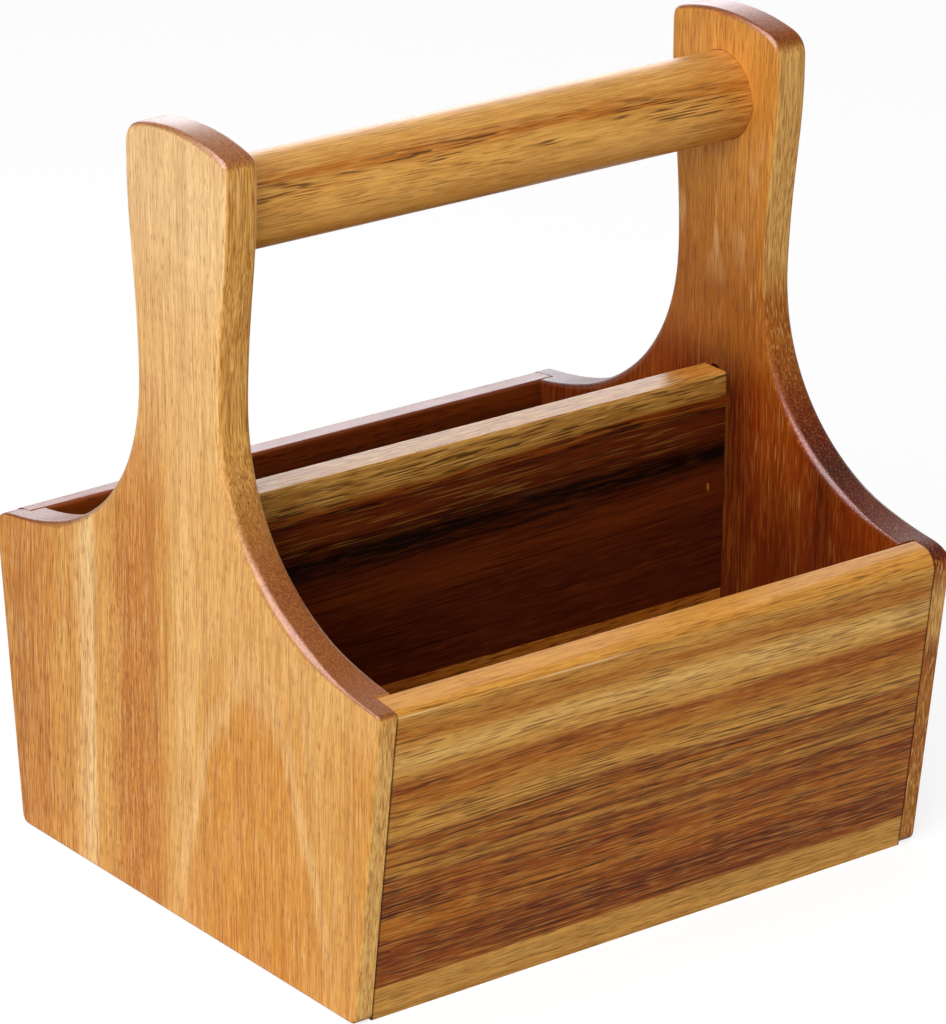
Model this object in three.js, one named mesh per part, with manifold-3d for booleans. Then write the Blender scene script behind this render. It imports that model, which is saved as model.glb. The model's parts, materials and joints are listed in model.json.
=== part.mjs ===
// Condiment crate: two shaped end boards, two leaning side boards, a divider, a base and a round handle rod.
// Millimetres. X runs along the handle, Y across the crate, Z up, with the origin under the middle.

import * as THREE from 'three';
import { mergeVertices } from 'three/addons/utils/BufferGeometryUtils.js';
import Module from 'manifold-3d';

const wasm = await Module();
wasm.setup();

// Overall sizes
const crateLength = 217;
const crateHeight = 250;
const baseWidth = 176;
const rimWidth = 200;
const rimHeight = 101.7;

// Joints: the glue line left around each piece that sits in another
const jointGap = 0.15;

// End boards: outline
const endThickness = 12;
const endArris = 1.6;
const wideCorner = 2.4;
const wideFlat = 8;
const narrowFoot = 3.2;
const narrowShoulderDown = 5.5;
const narrowShoulderAcross = 9.5;
const narrowFlat = 10;
const sweepReach = 54;
const sweepDrop = 37.5;
const waistWidth = 41.6;
const waistHeight = 171.5;
const waistPull = 25;
const headWidth = 51.2;
const headBelowTop = 16;
const headPull = 20;
const wideHeadCorner = 2.6;
const narrowHeadCorner = 6;
const topArcRadius = 80;

// End boards: the glue line between the wide and the narrow stave, off the middle
const endGlueLine = 44.5;

// Side boards, front and rear
const sideThickness = 11;
const sideOuterRadius = 2.4;
const sideInnerRadius = 0.8;
const sideLowerStave = 10.4;
const rebateDepth = 5.8;

// Divider and its stopped housings
const dividerThickness = 11.4;
const dividerHeight = 134;
const dividerArris = 1;
const dividerGlueHeight = 61;
const housingWidth = 6;
const housingDepth = 5;
const housingRise = 1;
const tongueStep = 3;

// Base, with a tongue all round in grooves
const baseThickness = 8;
const baseTongue = 4;
const baseGrooveDepth = 4;
const baseGlueLine = 28;

// Handle rod, in blind sockets
const handleDiameter = 28;
const handleBelowTop = 26.5;
const socketDepth = 7;

// Blind dowel pins at the four corners
const pinDiameter = 5;
const pinInBoard = 12;
const pinInLip = 3.6;
const lowerPinHeight = 30;
const upperPinHeight = 75;

// Facets
const curveSteps = 14;
const cornerSteps = 3;
const arrisSteps = 2;
const rodSides = 36;
const pinSides = 12;

// Length by which a cutter runs past the piece it cuts
const overrun = 5;

// Worked out from the sizes above
const leanSlope = (rimWidth - baseWidth) / 2 / rimHeight;
const leanAngle = Math.atan(leanSlope);
const sideDepth = sideThickness / Math.cos(leanAngle);
const lipThickness = endThickness - rebateDepth;
const innerLength = crateLength - 2 * endThickness;
const sideLength = crateLength - 2 * (lipThickness + jointGap);
const grooveBottom = (baseThickness - baseTongue) / 2;
const grooveTop = grooveBottom + baseTongue;
const grooveMiddle = (grooveBottom + grooveTop) / 2;
const handleHeight = crateHeight - handleBelowTop;
const pinHeights = { lower: lowerPinHeight, upper: upperPinHeight };

// Roundings of the end board on the sides of its wide and its narrow stave, as lengths along both edges
const wideSide = {
  foot: wideCorner,
  down: wideCorner,
  across: wideCorner,
  flat: wideFlat,
  head: wideHeadCorner,
};
const narrowSide = {
  foot: narrowFoot,
  down: narrowShoulderDown,
  across: narrowShoulderAcross,
  flat: narrowFlat,
  head: narrowHeadCorner,
};

const finishes = {
  end_board: wood(0xc98a45, 0.5),
  side_striped: wood(0x94602c, 0.45),
  pale_strip: wood(0xd2ac6c, 0.5),
  divider_dark: wood(0x6b3a1c, 0.5),
  base_board: wood(0x8a5630, 0.55),
  handle: wood(0xc9944c, 0.4),
  dowel: wood(0xd9bd8a, 0.6),
};

// An oiled wood of one colour
function wood(color, roughness) {
  return new THREE.MeshStandardMaterial({ color, roughness, metalness: 0, flatShading: true });
}

// Distance of the leaning outer face from the middle plane at height z
function outerFace(z) {
  return baseWidth / 2 + leanSlope * z;
}

// Distance of the leaning inner face from the middle plane at height z
function innerFace(z) {
  return outerFace(z) - sideDepth;
}

// A closed solid from a three.js geometry, with its shared vertices merged
function toSolid(geometry) {
  const bare = geometry.clone();
  bare.deleteAttribute('normal');
  bare.deleteAttribute('uv');
  const merged = mergeVertices(bare);
  return new wasm.Manifold(new wasm.Mesh({
    numProp: 3,
    vertProperties: Float32Array.from(merged.attributes.position.array),
    triVerts: Uint32Array.from(merged.index.array),
  }));
}

// A three.js geometry from a solid
function toGeometry(solid) {
  const mesh = solid.getMesh();
  const geometry = new THREE.BufferGeometry();
  geometry.setAttribute('position', new THREE.BufferAttribute(mesh.vertProperties, 3));
  geometry.setIndex(new THREE.BufferAttribute(mesh.triVerts, 1));
  geometry.computeVertexNormals();
  return geometry;
}

// Turns a section drawn in Y and Z, and extruded, so that it runs along X from the plane x
function alongX(geometry, x) {
  const turn = new THREE.Matrix4().set(0, 0, 1, x, 1, 0, 0, 0, 0, 1, 0, 0, 0, 0, 0, 1);
  return geometry.applyMatrix4(turn);
}

// A prism whose section is a Shape in Y and Z, from x to x + length
function prism(shape, x, length) {
  const options = { depth: length, bevelEnabled: false, curveSegments: cornerSteps };
  return toSolid(alongX(new THREE.ExtrudeGeometry(shape, options), x));
}

// A box between two corners
function block(low, high) {
  const size = new THREE.Vector3().subVectors(high, low);
  const middle = new THREE.Vector3().addVectors(low, high).multiplyScalar(0.5);
  const geometry = new THREE.BoxGeometry(size.x, size.y, size.z);
  return toSolid(geometry.translate(middle.x, middle.y, middle.z));
}

// A round bar along X, from x to x + length
function bar(radius, sides, x, length, y, z) {
  const geometry = new THREE.CylinderGeometry(radius, radius, length, sides);
  geometry.rotateZ(Math.PI / 2);
  return toSolid(geometry.translate(x + length / 2, y, z));
}

// Half of the end board's outline, from the middle of the foot to the crown, as a path in Y and Z
function halfOutline(rounding) {
  const footCorner = new THREE.Vector2(outerFace(0), 0);
  const shoulderCorner = new THREE.Vector2(outerFace(rimHeight), rimHeight);
  const up = shoulderCorner.clone().sub(footCorner).normalize();
  const inward = new THREE.Vector2(-up.y, up.x);
  const footEnd = footCorner.clone().addScaledVector(up, rounding.foot);
  const shoulderStart = shoulderCorner.clone().addScaledVector(up, -rounding.down);
  const shoulderEnd = shoulderCorner.clone().addScaledVector(inward, rounding.across);
  const sweepStart = shoulderCorner.clone().addScaledVector(inward, rounding.flat);
  const sweepGuide = shoulderCorner.clone().addScaledVector(inward, sweepReach);
  const waist = new THREE.Vector2(waistWidth / 2, waistHeight);
  const head = new THREE.Vector2(headWidth / 2, crateHeight - headBelowTop);
  const arcCentre = crateHeight - topArcRadius;
  const arcHeight = (y) => arcCentre + Math.sqrt(topArcRadius ** 2 - y ** 2);
  const arcStart = new THREE.Vector2(head.x - rounding.head, arcHeight(head.x - rounding.head));

  const path = new THREE.Path();
  path.moveTo(0, 0);
  path.lineTo(footCorner.x - rounding.foot, 0);
  path.quadraticCurveTo(footCorner.x, footCorner.y, footEnd.x, footEnd.y);
  path.lineTo(shoulderStart.x, shoulderStart.y);
  path.quadraticCurveTo(shoulderCorner.x, shoulderCorner.y, shoulderEnd.x, shoulderEnd.y);
  path.lineTo(sweepStart.x, sweepStart.y);
  path.bezierCurveTo(sweepGuide.x, sweepGuide.y, waist.x, waist.y - sweepDrop, waist.x, waist.y);
  path.bezierCurveTo(waist.x, waist.y + waistPull, head.x, head.y - headPull, head.x, head.y);
  path.lineTo(head.x, arcHeight(head.x) - rounding.head);
  path.quadraticCurveTo(head.x, arcHeight(head.x), arcStart.x, arcStart.y);
  path.absarc(0, arcCentre, topArcRadius, Math.acos(arcStart.x / topArcRadius), Math.PI / 2, false);
  return path;
}

// The whole outline: the narrow side, then the wide side mirrored, without the points that the two share
function endOutline() {
  const narrow = halfOutline(narrowSide).getPoints(curveSteps);
  const wide = halfOutline(wideSide).getPoints(curveSteps);
  const mirrored = wide.slice(1, -1).reverse().map((point) => new THREE.Vector2(-point.x, point.y));
  return new THREE.Shape(narrow.concat(mirrored));
}

// The end board as a plate with softened arrises, its outer face at x = 0 and its inner face at endThickness
function endPlate() {
  const geometry = new THREE.ExtrudeGeometry(endOutline(), {
    depth: endThickness - 2 * endArris,
    bevelEnabled: true,
    bevelThickness: endArris,
    bevelSize: endArris,
    bevelOffset: -endArris,
    bevelSegments: arrisSteps,
  });
  return toSolid(alongX(geometry, endArris));
}

// The notch in the end board's inner corner that takes a side board's end, on the side given by the sign
function rebateCutter(side) {
  const top = rimHeight + 2 * overrun;
  const shoulder = (z) => side * (innerFace(z) - jointGap);
  const outside = side * (outerFace(top) + overrun);
  const shape = new THREE.Shape();
  shape.moveTo(shoulder(-overrun), -overrun);
  shape.lineTo(outside, -overrun);
  shape.lineTo(outside, top);
  shape.lineTo(shoulder(top), top);
  return prism(shape, lipThickness, rebateDepth + overrun);
}

// The stopped housing for the divider's tongue: a slot with a round upper end
function housingCutter() {
  const half = housingWidth / 2;
  const arcHeight = dividerHeight + housingRise - half;
  const shape = new THREE.Shape();
  shape.moveTo(-half, grooveMiddle);
  shape.lineTo(half, grooveMiddle);
  shape.lineTo(half, arcHeight);
  shape.absarc(0, arcHeight, half, 0, Math.PI, false);
  return prism(shape, endThickness - housingDepth, housingDepth + overrun);
}

// The groove in the end board's inner face for the base's tongue
function endGrooveCutter() {
  const reach = innerFace(grooveBottom) + baseGrooveDepth;
  const low = new THREE.Vector3(endThickness - baseGrooveDepth, -reach, grooveBottom);
  const high = new THREE.Vector3(endThickness + overrun, reach, grooveTop);
  return block(low, high);
}

// The middle of a side board's thickness at height z
function sideMiddle(z) {
  return outerFace(z) - sideDepth / 2;
}

// Blind pin holes in the lips, on both sides
function lipHoles() {
  const holes = [];
  for (const z of Object.values(pinHeights)) {
    for (const side of [-1, 1]) {
      const start = lipThickness - pinInLip - jointGap;
      const radius = pinDiameter / 2 + jointGap;
      holes.push(bar(radius, pinSides, start, lipThickness + overrun - start, side * sideMiddle(z), z));
    }
  }
  return holes;
}

// The end board with all its joints cut, before it is divided into its staves
function endBoard() {
  const socket = bar(
    handleDiameter / 2 + jointGap,
    rodSides,
    endThickness - socketDepth,
    socketDepth + overrun,
    0,
    handleHeight,
  );
  const rebates = [rebateCutter(-1), rebateCutter(1)];
  const cutters = [...rebates, housingCutter(), endGrooveCutter(), socket, ...lipHoles()];
  return cutters.reduce((board, cutter) => board.subtract(cutter), endPlate());
}

// The two staves of an end board, divided at the glue line
function endStaves() {
  const board = endBoard();
  const reach = outerFace(rimHeight) + overrun;
  const wideLow = new THREE.Vector3(-overrun, -reach, -overrun);
  const wideHigh = new THREE.Vector3(endThickness + overrun, endGlueLine, crateHeight + overrun);
  const narrowLow = new THREE.Vector3(-overrun, endGlueLine, -overrun);
  const narrowHigh = new THREE.Vector3(endThickness + overrun, reach, crateHeight + overrun);
  return {
    wide: board.intersect(block(wideLow, wideHigh)),
    narrow: board.intersect(block(narrowLow, narrowHigh)),
  };
}

// The section of the front board's lower stave, leaning, with its upper edge square to its faces
function sideLowerSection() {
  const rise = sideThickness * Math.sin(leanAngle);
  const inset = sideThickness * Math.cos(leanAngle);
  const shape = new THREE.Shape();
  shape.moveTo(-outerFace(0), 0);
  shape.lineTo(-innerFace(0), 0);
  shape.lineTo(-outerFace(sideLowerStave) + inset, sideLowerStave + rise);
  shape.lineTo(-outerFace(sideLowerStave), sideLowerStave);
  return shape;
}

// The section of the front board's upper stave, leaning, rounded over at the rim
function sideUpperSection() {
  const across = new THREE.Vector2(Math.cos(leanAngle), Math.sin(leanAngle));
  const up = new THREE.Vector2(-across.y, across.x);
  const lowerOuter = new THREE.Vector2(-outerFace(sideLowerStave), sideLowerStave);
  const lowerInner = lowerOuter.clone().addScaledVector(across, sideThickness);
  const upperOuter = new THREE.Vector2(-outerFace(rimHeight), rimHeight);
  const upperInner = upperOuter.clone().addScaledVector(across, sideThickness);
  const innerStart = upperInner.clone().addScaledVector(up, -sideInnerRadius);
  const innerEnd = upperInner.clone().addScaledVector(across, -sideInnerRadius);
  const outerStart = upperOuter.clone().addScaledVector(across, sideOuterRadius);
  const outerEnd = upperOuter.clone().addScaledVector(up, -sideOuterRadius);
  const shape = new THREE.Shape();
  shape.moveTo(lowerOuter.x, lowerOuter.y);
  shape.lineTo(lowerInner.x, lowerInner.y);
  shape.lineTo(innerStart.x, innerStart.y);
  shape.quadraticCurveTo(upperInner.x, upperInner.y, innerEnd.x, innerEnd.y);
  shape.lineTo(outerStart.x, outerStart.y);
  shape.quadraticCurveTo(upperOuter.x, upperOuter.y, outerEnd.x, outerEnd.y);
  return shape;
}

// The groove in the front board's inner face for the base's tongue
function sideGrooveCutter() {
  const reach = innerFace(grooveBottom) + baseGrooveDepth;
  const low = new THREE.Vector3(-sideLength / 2 - overrun, -reach, grooveBottom);
  const high = new THREE.Vector3(sideLength / 2 + overrun, -innerFace(grooveTop) + overrun, grooveTop);
  return block(low, high);
}

// Blind pin holes in both ends of the front board
function sideHoles() {
  const holes = [];
  const depth = pinInBoard + jointGap;
  const radius = pinDiameter / 2 + jointGap;
  for (const z of Object.values(pinHeights)) {
    for (const start of [-sideLength / 2 - overrun, sideLength / 2 - depth]) {
      holes.push(bar(radius, pinSides, start, depth + overrun, -sideMiddle(z), z));
    }
  }
  return holes;
}

// The two staves of a side board, drawn as the front one
function sideStaves() {
  const lower = prism(sideLowerSection(), -sideLength / 2, sideLength).subtract(sideGrooveCutter());
  const upper = prism(sideUpperSection(), -sideLength / 2, sideLength);
  return { lower, upper: sideHoles().reduce((stave, hole) => stave.subtract(hole), upper) };
}

// The two staves of the divider, each with the part of the tongue that enters the housings
function dividerStaves() {
  const half = dividerThickness / 2;
  const bodyLength = innerLength - 2 * jointGap;
  const tongueEnd = innerLength / 2 + housingDepth - jointGap;
  const tongueHalf = housingWidth / 2 - jointGap;
  const tongue = (bottom, top) => block(
    new THREE.Vector3(-tongueEnd, -tongueHalf, bottom),
    new THREE.Vector3(tongueEnd, tongueHalf, top),
  );
  const lowerShape = new THREE.Shape();
  lowerShape.moveTo(-half, baseThickness);
  lowerShape.lineTo(half, baseThickness);
  lowerShape.lineTo(half, dividerGlueHeight);
  lowerShape.lineTo(-half, dividerGlueHeight);
  const upperShape = new THREE.Shape();
  upperShape.moveTo(-half, dividerGlueHeight);
  upperShape.lineTo(half, dividerGlueHeight);
  upperShape.lineTo(half, dividerHeight - dividerArris);
  upperShape.quadraticCurveTo(half, dividerHeight, half - dividerArris, dividerHeight);
  upperShape.lineTo(dividerArris - half, dividerHeight);
  upperShape.quadraticCurveTo(-half, dividerHeight, -half, dividerHeight - dividerArris);
  const lowerTongue = tongue(baseThickness, dividerGlueHeight);
  const upperTongue = tongue(dividerGlueHeight, dividerHeight - tongueStep);
  return {
    lower: prism(lowerShape, -bodyLength / 2, bodyLength).add(lowerTongue),
    upper: prism(upperShape, -bodyLength / 2, bodyLength).add(upperTongue),
  };
}

// The three staves of the base, whose tongue runs into the grooves on all four sides
function baseStaves() {
  const bodyLength = innerLength - 2 * jointGap;
  const tongueEnd = innerLength / 2 + baseGrooveDepth - jointGap;
  const tongueReach = innerFace(grooveBottom) + baseGrooveDepth - jointGap;
  const tongue = (yLow, yHigh) => block(
    new THREE.Vector3(-tongueEnd, yLow, grooveBottom + jointGap),
    new THREE.Vector3(tongueEnd, yHigh, grooveTop - jointGap),
  );
  const outerShape = new THREE.Shape();
  outerShape.moveTo(-innerFace(0) + jointGap, 0);
  outerShape.lineTo(-baseGlueLine, 0);
  outerShape.lineTo(-baseGlueLine, baseThickness);
  outerShape.lineTo(-innerFace(baseThickness) + jointGap, baseThickness);
  const middle = block(
    new THREE.Vector3(-bodyLength / 2, -baseGlueLine, 0),
    new THREE.Vector3(bodyLength / 2, baseGlueLine, baseThickness),
  );
  return {
    outer: prism(outerShape, -bodyLength / 2, bodyLength).add(tongue(-tongueReach, -baseGlueLine)),
    middle: middle.add(tongue(-baseGlueLine, baseGlueLine)),
  };
}

// Adds one piece to a group as a named mesh
function addPiece(parent, name, solid, finish) {
  const mesh = new THREE.Mesh(toGeometry(solid), finish.clone());
  mesh.name = name;
  parent.add(mesh);
}

// A group turned half round about Z where turned is true, and moved along X
function placed(parent, x, turned) {
  const holder = new THREE.Group();
  holder.position.x = x;
  holder.rotation.z = turned ? Math.PI : 0;
  parent.add(holder);
  return holder;
}

const group = new THREE.Group();
group.name = 'condiment_crate';

// End boards: the right one is the left one turned half round
const ends = endStaves();
const leftEnd = placed(group, -crateLength / 2, false);
addPiece(leftEnd, 'left_end_wide_stave', ends.wide, finishes.end_board);
addPiece(leftEnd, 'left_end_narrow_stave', ends.narrow, finishes.end_board);
const rightEnd = placed(group, crateLength / 2, true);
addPiece(rightEnd, 'right_end_wide_stave', ends.wide, finishes.end_board);
addPiece(rightEnd, 'right_end_narrow_stave', ends.narrow, finishes.end_board);

// Side boards: the rear one is the front one turned half round
const sides = sideStaves();
const frontSide = placed(group, 0, false);
addPiece(frontSide, 'front_upper_stave', sides.upper, finishes.side_striped);
addPiece(frontSide, 'front_lower_stave', sides.lower, finishes.pale_strip);
const rearSide = placed(group, 0, true);
addPiece(rearSide, 'rear_upper_stave', sides.upper, finishes.side_striped);
addPiece(rearSide, 'rear_lower_stave', sides.lower, finishes.pale_strip);

// Divider
const divider = dividerStaves();
addPiece(group, 'divider_upper_stave', divider.upper, finishes.divider_dark);
addPiece(group, 'divider_lower_stave', divider.lower, finishes.divider_dark);

// Base
const base = baseStaves();
addPiece(group, 'base_front_stave', base.outer, finishes.base_board);
addPiece(group, 'base_middle_stave', base.middle, finishes.base_board);
addPiece(placed(group, 0, true), 'base_rear_stave', base.outer, finishes.base_board);

// Handle rod
const rodLength = innerLength + 2 * (socketDepth - jointGap);
addPiece(
  group,
  'handle_rod',
  bar(handleDiameter / 2, rodSides, -rodLength / 2, rodLength, 0, handleHeight),
  finishes.handle,
);

// Dowel pins
const pinLength = pinInLip + jointGap + pinInBoard;
const pinStart = crateLength / 2 - lipThickness + pinInLip;
for (const [level, z] of Object.entries(pinHeights)) {
  for (const [end, x] of [['left', -pinStart], ['right', pinStart - pinLength]]) {
    for (const [face, side] of [['front', -1], ['rear', 1]]) {
      const pin = bar(pinDiameter / 2, pinSides, x, pinLength, side * sideMiddle(z), z);
      addPiece(group, `dowel_${end}_${face}_${level}`, pin, finishes.dowel);
    }
  }
}

export default group;
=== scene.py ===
"""Condiment crate: its boards, staves and rod with their rounded arrises, their grain and their finish.

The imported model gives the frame. Each wooden piece is built again here and stands for the solid in the same
place. Lengths are in metres, and in millimetres where a name or a comment says so.
"""

import json
import logging
import math
from dataclasses import dataclass, field, replace
from enum import Enum
from typing import Callable, Optional, Sequence, Union

import bmesh
import bpy
from mathutils import Color, Matrix, Vector
from mathutils.geometry import interpolate_bezier

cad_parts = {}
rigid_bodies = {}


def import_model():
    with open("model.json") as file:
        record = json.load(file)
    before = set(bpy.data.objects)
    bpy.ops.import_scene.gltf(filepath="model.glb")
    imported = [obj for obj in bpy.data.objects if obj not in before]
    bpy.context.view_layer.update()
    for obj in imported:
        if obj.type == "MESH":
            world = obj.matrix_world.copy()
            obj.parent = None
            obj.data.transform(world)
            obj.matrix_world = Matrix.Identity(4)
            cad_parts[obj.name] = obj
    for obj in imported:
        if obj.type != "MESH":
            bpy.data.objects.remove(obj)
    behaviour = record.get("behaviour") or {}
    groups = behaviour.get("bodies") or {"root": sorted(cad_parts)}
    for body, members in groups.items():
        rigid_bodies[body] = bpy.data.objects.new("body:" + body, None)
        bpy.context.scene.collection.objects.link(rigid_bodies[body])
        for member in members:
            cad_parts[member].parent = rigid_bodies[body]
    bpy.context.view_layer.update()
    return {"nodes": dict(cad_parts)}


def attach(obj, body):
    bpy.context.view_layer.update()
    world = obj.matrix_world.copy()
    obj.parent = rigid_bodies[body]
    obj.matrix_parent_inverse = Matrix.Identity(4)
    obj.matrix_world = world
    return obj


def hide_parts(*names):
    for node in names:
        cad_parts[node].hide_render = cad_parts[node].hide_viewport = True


MM = 0.001
LOG = logging.getLogger("condiment_crate")

# Distances below which a saw cut, two corners or two levels count as one
SAW_SLACK = 0.001 * MM
CORNER_SLACK = 0.01 * MM
LEVEL_SLACK = 0.1 * MM

# The least part of a face's normal along an axis with which the face looks that way
LOOKS_ALONG = 0.5

# The turn between two faces from which their edge is drawn sharp
SHARP_TURN = math.radians(32)

# Length by which a cutter runs past the piece that it cuts
OVERRUN = 5 * MM

# Facets round the rod and its sockets
ROD_FACETS = 96

# Colour of the lamps that show in reflections only
COOL_SHEEN = (0.93, 0.93, 1.0)

Socket = bpy.types.NodeSocket
Number = Union[float, Socket]


@dataclass(frozen=True)
class CrateSizes:
    """The crate's driving sizes, in metres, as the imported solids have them.

    The grooves take the tongue of the base, the housings the tongues of the divider, and the sockets the rod.
    Height and width at the rim are those of the side boards' sharp outer corners.
    """

    length: float = 217 * MM
    height: float = 250 * MM
    base_width: float = 176 * MM
    rim_width: float = 200 * MM
    rim_height: float = 101.7 * MM
    joint_gap: float = 0.15 * MM
    end_thickness: float = 12 * MM
    rebate_depth: float = 5.8 * MM
    side_thickness: float = 11 * MM
    groove_depth: float = 4 * MM
    groove_bottom: float = 2 * MM
    groove_top: float = 6 * MM
    base_thickness: float = 8 * MM
    divider_height: float = 134 * MM
    housing_width: float = 6 * MM
    housing_depth: float = 5 * MM
    housing_rise: float = 1 * MM
    rod_radius: float = 14 * MM
    rod_height: float = 223.5 * MM
    socket_depth: float = 7 * MM

    @property
    def slope(self) -> float:
        """How far a side board leans out for each metre of height."""
        return (self.rim_width - self.base_width) / 2 / self.rim_height

    @property
    def lean(self) -> float:
        """The lean of a side board, in radians."""
        return math.atan(self.slope)

    @property
    def side_depth(self) -> float:
        """A leaning side board's thickness, measured level."""
        return self.side_thickness / math.cos(self.lean)

    @property
    def lip(self) -> float:
        """Thickness of an end board's lip, outside the side boards' ends."""
        return self.end_thickness - self.rebate_depth

    @property
    def inner_length(self) -> float:
        """Clear length between the end boards."""
        return self.length - 2 * self.end_thickness

    @property
    def side_length(self) -> float:
        """Length of a side board, from lip to lip."""
        return self.length - 2 * (self.lip + self.joint_gap)

    def outer_face(self, z: float) -> float:
        """Distance of a side board's outer face from the middle plane at height z."""
        return self.base_width / 2 + self.slope * z

    def inner_face(self, z: float) -> float:
        """Distance of a side board's inner face from the middle plane at height z."""
        return self.outer_face(z) - self.side_depth


class Tone(Enum):
    """The tones of the wood in white light, from sapwood to near-black, and the stains over them."""

    IVORY = "fbdcae"
    CREAM = "f6cd8c"
    STRAW = "edba70"
    HONEY = "e0a652"
    AMBER = "d9953a"
    OCHRE = "cf8a38"
    WHEAT = "e8bb6c"
    GOLD = "d6a04c"
    BRASS = "c48a3a"
    FLAX = "be8d40"
    OLIVE = "a97b34"
    GINGER = "b66f22"
    COPPER = "a05716"
    SIENNA = "853e0e"
    RUSSET = "9e460c"
    EMBER = "8c3408"
    OXBLOOD = "65240a"
    CHESTNUT = "652b0c"
    MAROON = "4e1d0a"
    UMBER = "3d1a0a"
    COFFEE = "2a1008"
    INK = "160905"
    WASH = "d2bda4"
    TEA = "b28557"
    SPICE = "b07540"
    BARK = "a57f5e"
    SOOT = "5c3c28"


def ease(value: float) -> float:
    """The number held between 0 and 1, with a soft start and end."""
    held = min(1.0, max(0.0, value))
    return held * held * (3 - 2 * held)


def linear(tone: Tone, alpha: float = 1.0) -> tuple[float, float, float, float]:
    """Turns a tone as it is seen into the linear values that a shader takes.

    Args:
        tone: The tone.
        alpha: The fourth value.

    Returns:
        Red, green, blue and alpha.
    """
    seen = Color([level / 255 for level in bytes.fromhex(tone.value)])
    return (*seen.from_srgb_to_scene_linear(), alpha)


class Grain(Enum):
    """The axis that the fibres of a piece run along, with the axes across, through and along its board."""

    ALONG_X = (2, 1, 0)
    ALONG_Z = (1, 0, 2)

    @property
    def across(self) -> int:
        """The axis across the grain, in the plane of the board."""
        return self.value[0]

    @property
    def along(self) -> int:
        """The axis along the grain."""
        return self.value[2]


class Lay(Enum):
    """How a layer lies on the wood: paint covers it, and a stain darkens it."""

    PAINT = "MIX"
    STAIN = "MULTIPLY"


class Face(Enum):
    """The faces that a layer is seen on."""

    ALL = "all"
    FLAT = "flat"
    EDGE = "edge"


@dataclass(frozen=True)
class Bands:
    """Coloured bands of growth, laid over the width of a board.

    Attributes:
        stops: Distance across the board in millimetres, with the tone there.
        slope: How far the bands climb for each millimetre along the grain.
        sway: How far they wander over a hand's breadth, in millimetres.
        feather: How far their edges break up into streaks, in millimetres.
        lean: The turn about X that lays the board upright, in radians.
        foot: Height of the board's foot after that turn, in millimetres.
    """

    stops: tuple[tuple[float, Tone], ...]
    slope: float = 0.0
    sway: float = 3.0
    feather: float = 2.5
    lean: float = 0.0
    foot: float = 0.0


@dataclass(frozen=True)
class Zone:
    """A stretch across or along the grain that a layer keeps to, in millimetres."""

    low: float
    high: float
    soft: float


@dataclass(frozen=True)
class Marks:
    """A layer of narrow marks along the grain: streaks, lines, pores or flecks.

    Attributes:
        width: Width of a noise cell, in millimetres; a mark is about half as wide.
        length: Length of a cell, in millimetres.
        tone: Tone of the marks.
        share: How fully they cover the wood.
        start: Noise value at which a mark begins.
        full: Noise value at which it has its whole share.
        seed: Shifts the pattern.
        lay: How the marks lie on the wood.
        patch: Width of the patches that the marks gather in, in millimetres, or zero.
        zone: The stretch across the grain that they keep to.
        reach: The stretch along the grain that they keep to.
        face: The faces that they are seen on.
        dent: How deep they lie in the surface, as a share of the finish's relief.
    """

    width: float
    length: float
    tone: Tone
    share: float
    start: float
    full: float
    seed: float
    lay: Lay = Lay.PAINT
    patch: float = 0.0
    zone: Optional[Zone] = None
    reach: Optional[Zone] = None
    face: Face = Face.ALL
    dent: float = 0.0


@dataclass(frozen=True)
class Fade:
    """A tone that comes in slowly, or a whole face that has it.

    Attributes:
        tone: The tone.
        share: How fully it covers at its most.
        reach: The stretch along the grain, or nothing for the whole length.
        zone: The stretch across the grain, or nothing for the whole width.
        face: The faces that it is seen on.
        lay: How it lies on the wood.
    """

    tone: Tone
    share: float
    reach: Optional[Zone] = None
    zone: Optional[Zone] = None
    face: Face = Face.ALL
    lay: Lay = Lay.PAINT


@dataclass(frozen=True)
class Arches:
    """Growth rings that a flat-sawn face cuts into nested arches.

    Attributes:
        centre: Where the arches stand, across the grain, in millimetres.
        spread: Width of the arches: a ring falls by the square of its distance aside over this.
        stops: Height of a ring's apex in millimetres, with its tone and how fully it covers.
        limit: How far aside they reach, in millimetres.
        sway: How far the rings wander, in millimetres.
    """

    centre: float
    spread: float
    stops: tuple[tuple[float, Tone, float], ...]
    limit: float
    sway: float = 5.0


@dataclass(frozen=True)
class Spot:
    """One small mark: a nick, a dent or a drip of glue.

    Attributes:
        centre: Across, depth and along, in millimetres.
        radii: Half its size in the same directions.
        tone: Its tone.
        share: How fully it covers.
        raised: How far it stands up or, below zero, lies deep, as a share of the finish's relief.
    """

    centre: tuple[float, float, float]
    radii: tuple[float, float, float]
    tone: Tone
    share: float
    raised: float = 0.0


@dataclass(frozen=True)
class Cells:
    """A noise pattern with long cells along the grain.

    Attributes:
        width: Width of a cell, in millimetres.
        length: Length of a cell, in millimetres.
        seed: Shifts the pattern.
        detail: Number of finer octaves.
        start: Noise value at which the pattern begins to show.
        full: Noise value at which it shows fully.
        share: How strong it is.
    """

    width: float
    length: float
    seed: float
    detail: float = 0.0
    start: float = 0.0
    full: float = 1.0
    share: float = 1.0

    def grown(self, factor: float, seed: float) -> "Cells":
        """The same pattern with larger cells and a further shift."""
        return replace(self, width=self.width * factor, length=self.length * factor, seed=self.seed + seed)


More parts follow.
